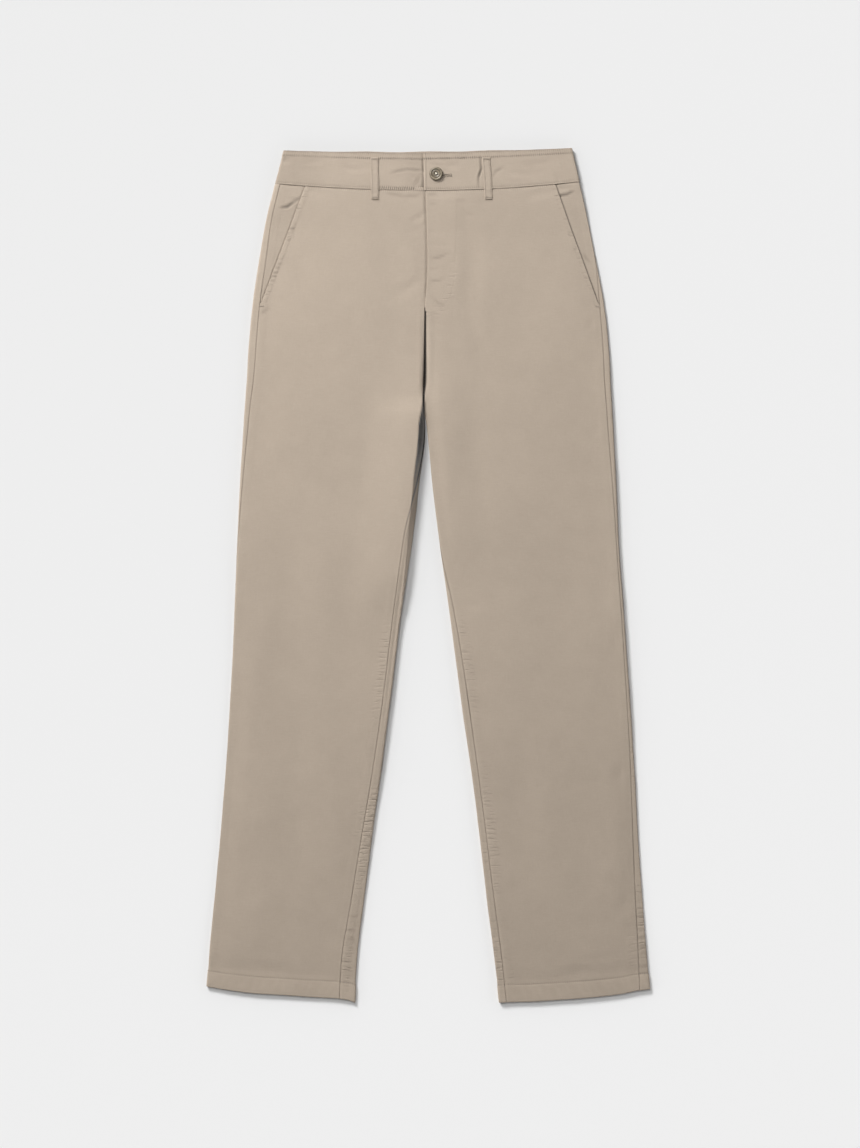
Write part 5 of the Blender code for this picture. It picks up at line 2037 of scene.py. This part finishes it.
class ChinoCloth(bpy.types.PropertyGroup):
    cloth: length("Cloth", "Thickness of the twill", 0.0006)
    hem_depth: length("Hem depth", "Height of the turned-up hem", 0.021)
    crease: amount("Creases", "Depth of the placed creases, as a share", 1.4, soft_max=2.0)
    pucker: amount("Puckers", "Strength of the puckers along the seams", 1.0, soft_max=2.0)
    colour: tint("Colour", "Colour of the twill", (0.362, 0.301, 0.242))
    facing_colour: tint("Facing colour", "Colour of the pocket facings", (0.358, 0.298, 0.240))
    twill_pitch: length("Twill pitch", "Distance between the diagonal ribs", 0.00055, 5)
    rib_height: length("Rib height", "Height of the diagonal ribs", 0.00005, 6)
    blotches: amount("Blotches", "Contrast of the uneven fading", 0.10, max=1.0)
    sheen: amount("Sheen", "Soft shine of the brushed nap", 0.12, max=1.0)


class ChinoTrims(bpy.types.PropertyGroup):
    stitch_pitch: length("Stitch pitch", "Distance from one stitch to the next", 0.0026)
    thread: length("Thread", "Diameter of the sewing thread", 0.00042, 5)
    thread_colour: tint("Thread colour", "Colour of the sewing thread", (0.32, 0.265, 0.21))
    button_colour: tint("Button colour", "Paler colour of the button", (0.235, 0.195, 0.135))
    button_dark: tint("Button streaks", "Darker colour of the button", (0.10, 0.08, 0.052))
    button_thread_colour: tint("Button thread", "Colour of the button's thread", (0.84, 0.79, 0.66))


class ChinoStudio(bpy.types.PropertyGroup):
    key_light: amount("Key light", "Light that the low lamp gives a white floor", 0.64)
    key_elevation: angle("Key elevation", "Height of the low lamp above the floor", 32)
    high_light: amount("High light", "Light that the high lamp gives a white floor", 0.31)
    high_elevation: angle("High elevation", "Height of the high lamp above the floor", 66)
    heading: angle("Heading", "Turn of the lamps from the waist towards the wearer's right", 34)
    lamp_distance: length("Lamp distance", "From the trousers to each lamp", 3.5, 2)
    lamp_size: length("Lamp size", "Diameter of each lamp", 1.0, 2)
    fill_light: amount("Fill light", "Light that the low sky gives a white floor", 0.29)
    floor_tone: amount("Floor tone", "Brightness of the lit floor", 0.863, max=1.0)


FLOOR_PALEST = 0.97
# Sine of the elevation up to which the sky is full, and from which it is dark
SKY_BAND = (0.25, 0.65)
FLOOR_RADIUS = 12.0
CAMERA_LENS = 80.0
CAMERA_SENSOR = 36.0
CAMERA_PLACE = (0.0022, 0.0019, 3.170)


class BuildStitching(bpy.types.Operator):
    """Sew the rows of stitches, bars and the buttonhole"""

    bl_idname = "chino.stitching"
    bl_label = "Stitching"

    def execute(self, context):
        for side in SKINS:
            build_front_stitching(side)
            build_back_stitching(side)
            build_band_stitching(side)
        build_back_band_stitching()
        for name, place in LOOPS.items():
            build_loop_stitching(name, *place)
        return {"FINISHED"}


class BuildFrontPanels(bpy.types.Operator):
    """Lay the two front panels, with their fly, pocket edges and hems"""

    bl_idname = "chino.front_panels"
    bl_label = "Front panels"

    def execute(self, context):
        for side in SKINS:
            build_front(side, twill())
        return {"FINISHED"}


class BuildBackPanels(bpy.types.Operator):
    """Lay the two back panels, which wrap round both edges of each leg"""

    bl_idname = "chino.back_panels"
    bl_label = "Back panels"

    def execute(self, context):
        for side in SKINS:
            build_back(side, twill())
        return {"FINISHED"}


class BuildPocketFacings(bpy.types.Operator):
    """Lay the cloth that shows in the slanted pocket openings"""

    bl_idname = "chino.pocket_facings"
    bl_label = "Pocket facings"

    def execute(self, context):
        for side in SKINS:
            build_facing(side, facing_twill())
        return {"FINISHED"}


class BuildWaistband(bpy.types.Operator):
    """Lay the waistband: two front pieces and the gathered back"""

    bl_idname = "chino.waistband"
    bl_label = "Waistband"

    def execute(self, context):
        for side in SKINS:
            build_front_band(side, twill())
        build_back_band(twill())
        return {"FINISHED"}


class BuildBeltLoops(bpy.types.Operator):
    """Lay the five belt loops"""

    bl_idname = "chino.belt_loops"
    bl_label = "Belt loops"

    def execute(self, context):
        for name, place in LOOPS.items():
            build_loop(name, *place, twill())
        return {"FINISHED"}


class BuildWaistButton(bpy.types.Operator):
    """Turn the four-hole button and sew it on"""

    bl_idname = "chino.waist_button"
    bl_label = "Waist button"

    def execute(self, context):
        build_button()
        build_button_thread()
        return {"FINISHED"}


class BuildStudio(bpy.types.Operator):
    """Set up the floor, the light and the camera"""

    bl_idname = "chino.studio"
    bl_label = "Studio"

    def execute(self, context):
        build_floor()
        build_world()
        build_lamps()
        build_camera()
        return {"FINISHED"}


OPERATORS = (
    BuildStitching,
    BuildFrontPanels,
    BuildBackPanels,
    BuildPocketFacings,
    BuildWaistband,
    BuildBeltLoops,
    BuildWaistButton,
    BuildStudio,
)


class ChinoPanel(bpy.types.Panel):
    bl_idname = "VIEW3D_PT_chino_trousers"
    bl_label = "Chino trousers"
    bl_space_type = "VIEW_3D"
    bl_region_type = "UI"
    bl_category = "Chinos"

    def draw(self, context):
        layout = self.layout
        for group_of in (context.scene.chino_cloth, context.scene.chino_trims, context.scene.chino_studio):
            box = layout.box()
            for name in group_of.__annotations__:
                box.prop(group_of, name)
        for operator in OPERATORS:
            layout.operator(operator.bl_idname)


GROUPS = {"chino_cloth": ChinoCloth, "chino_trims": ChinoTrims, "chino_studio": ChinoStudio}


def register():
    for made in (*GROUPS.values(), *OPERATORS, ChinoPanel):
        bpy.utils.register_class(made)
    for name, made in GROUPS.items():
        setattr(bpy.types.Scene, name, PointerProperty(type=made))


def unregister():
    for name in GROUPS:
        delattr(bpy.types.Scene, name)
    for made in reversed((*GROUPS.values(), *OPERATORS, ChinoPanel)):
        bpy.utils.unregister_class(made)


def main():
    register()
    for operator in OPERATORS:
        area, name = operator.bl_idname.split(".")
        getattr(getattr(bpy.ops, area), name)()


if __name__ == "__main__":
    main()
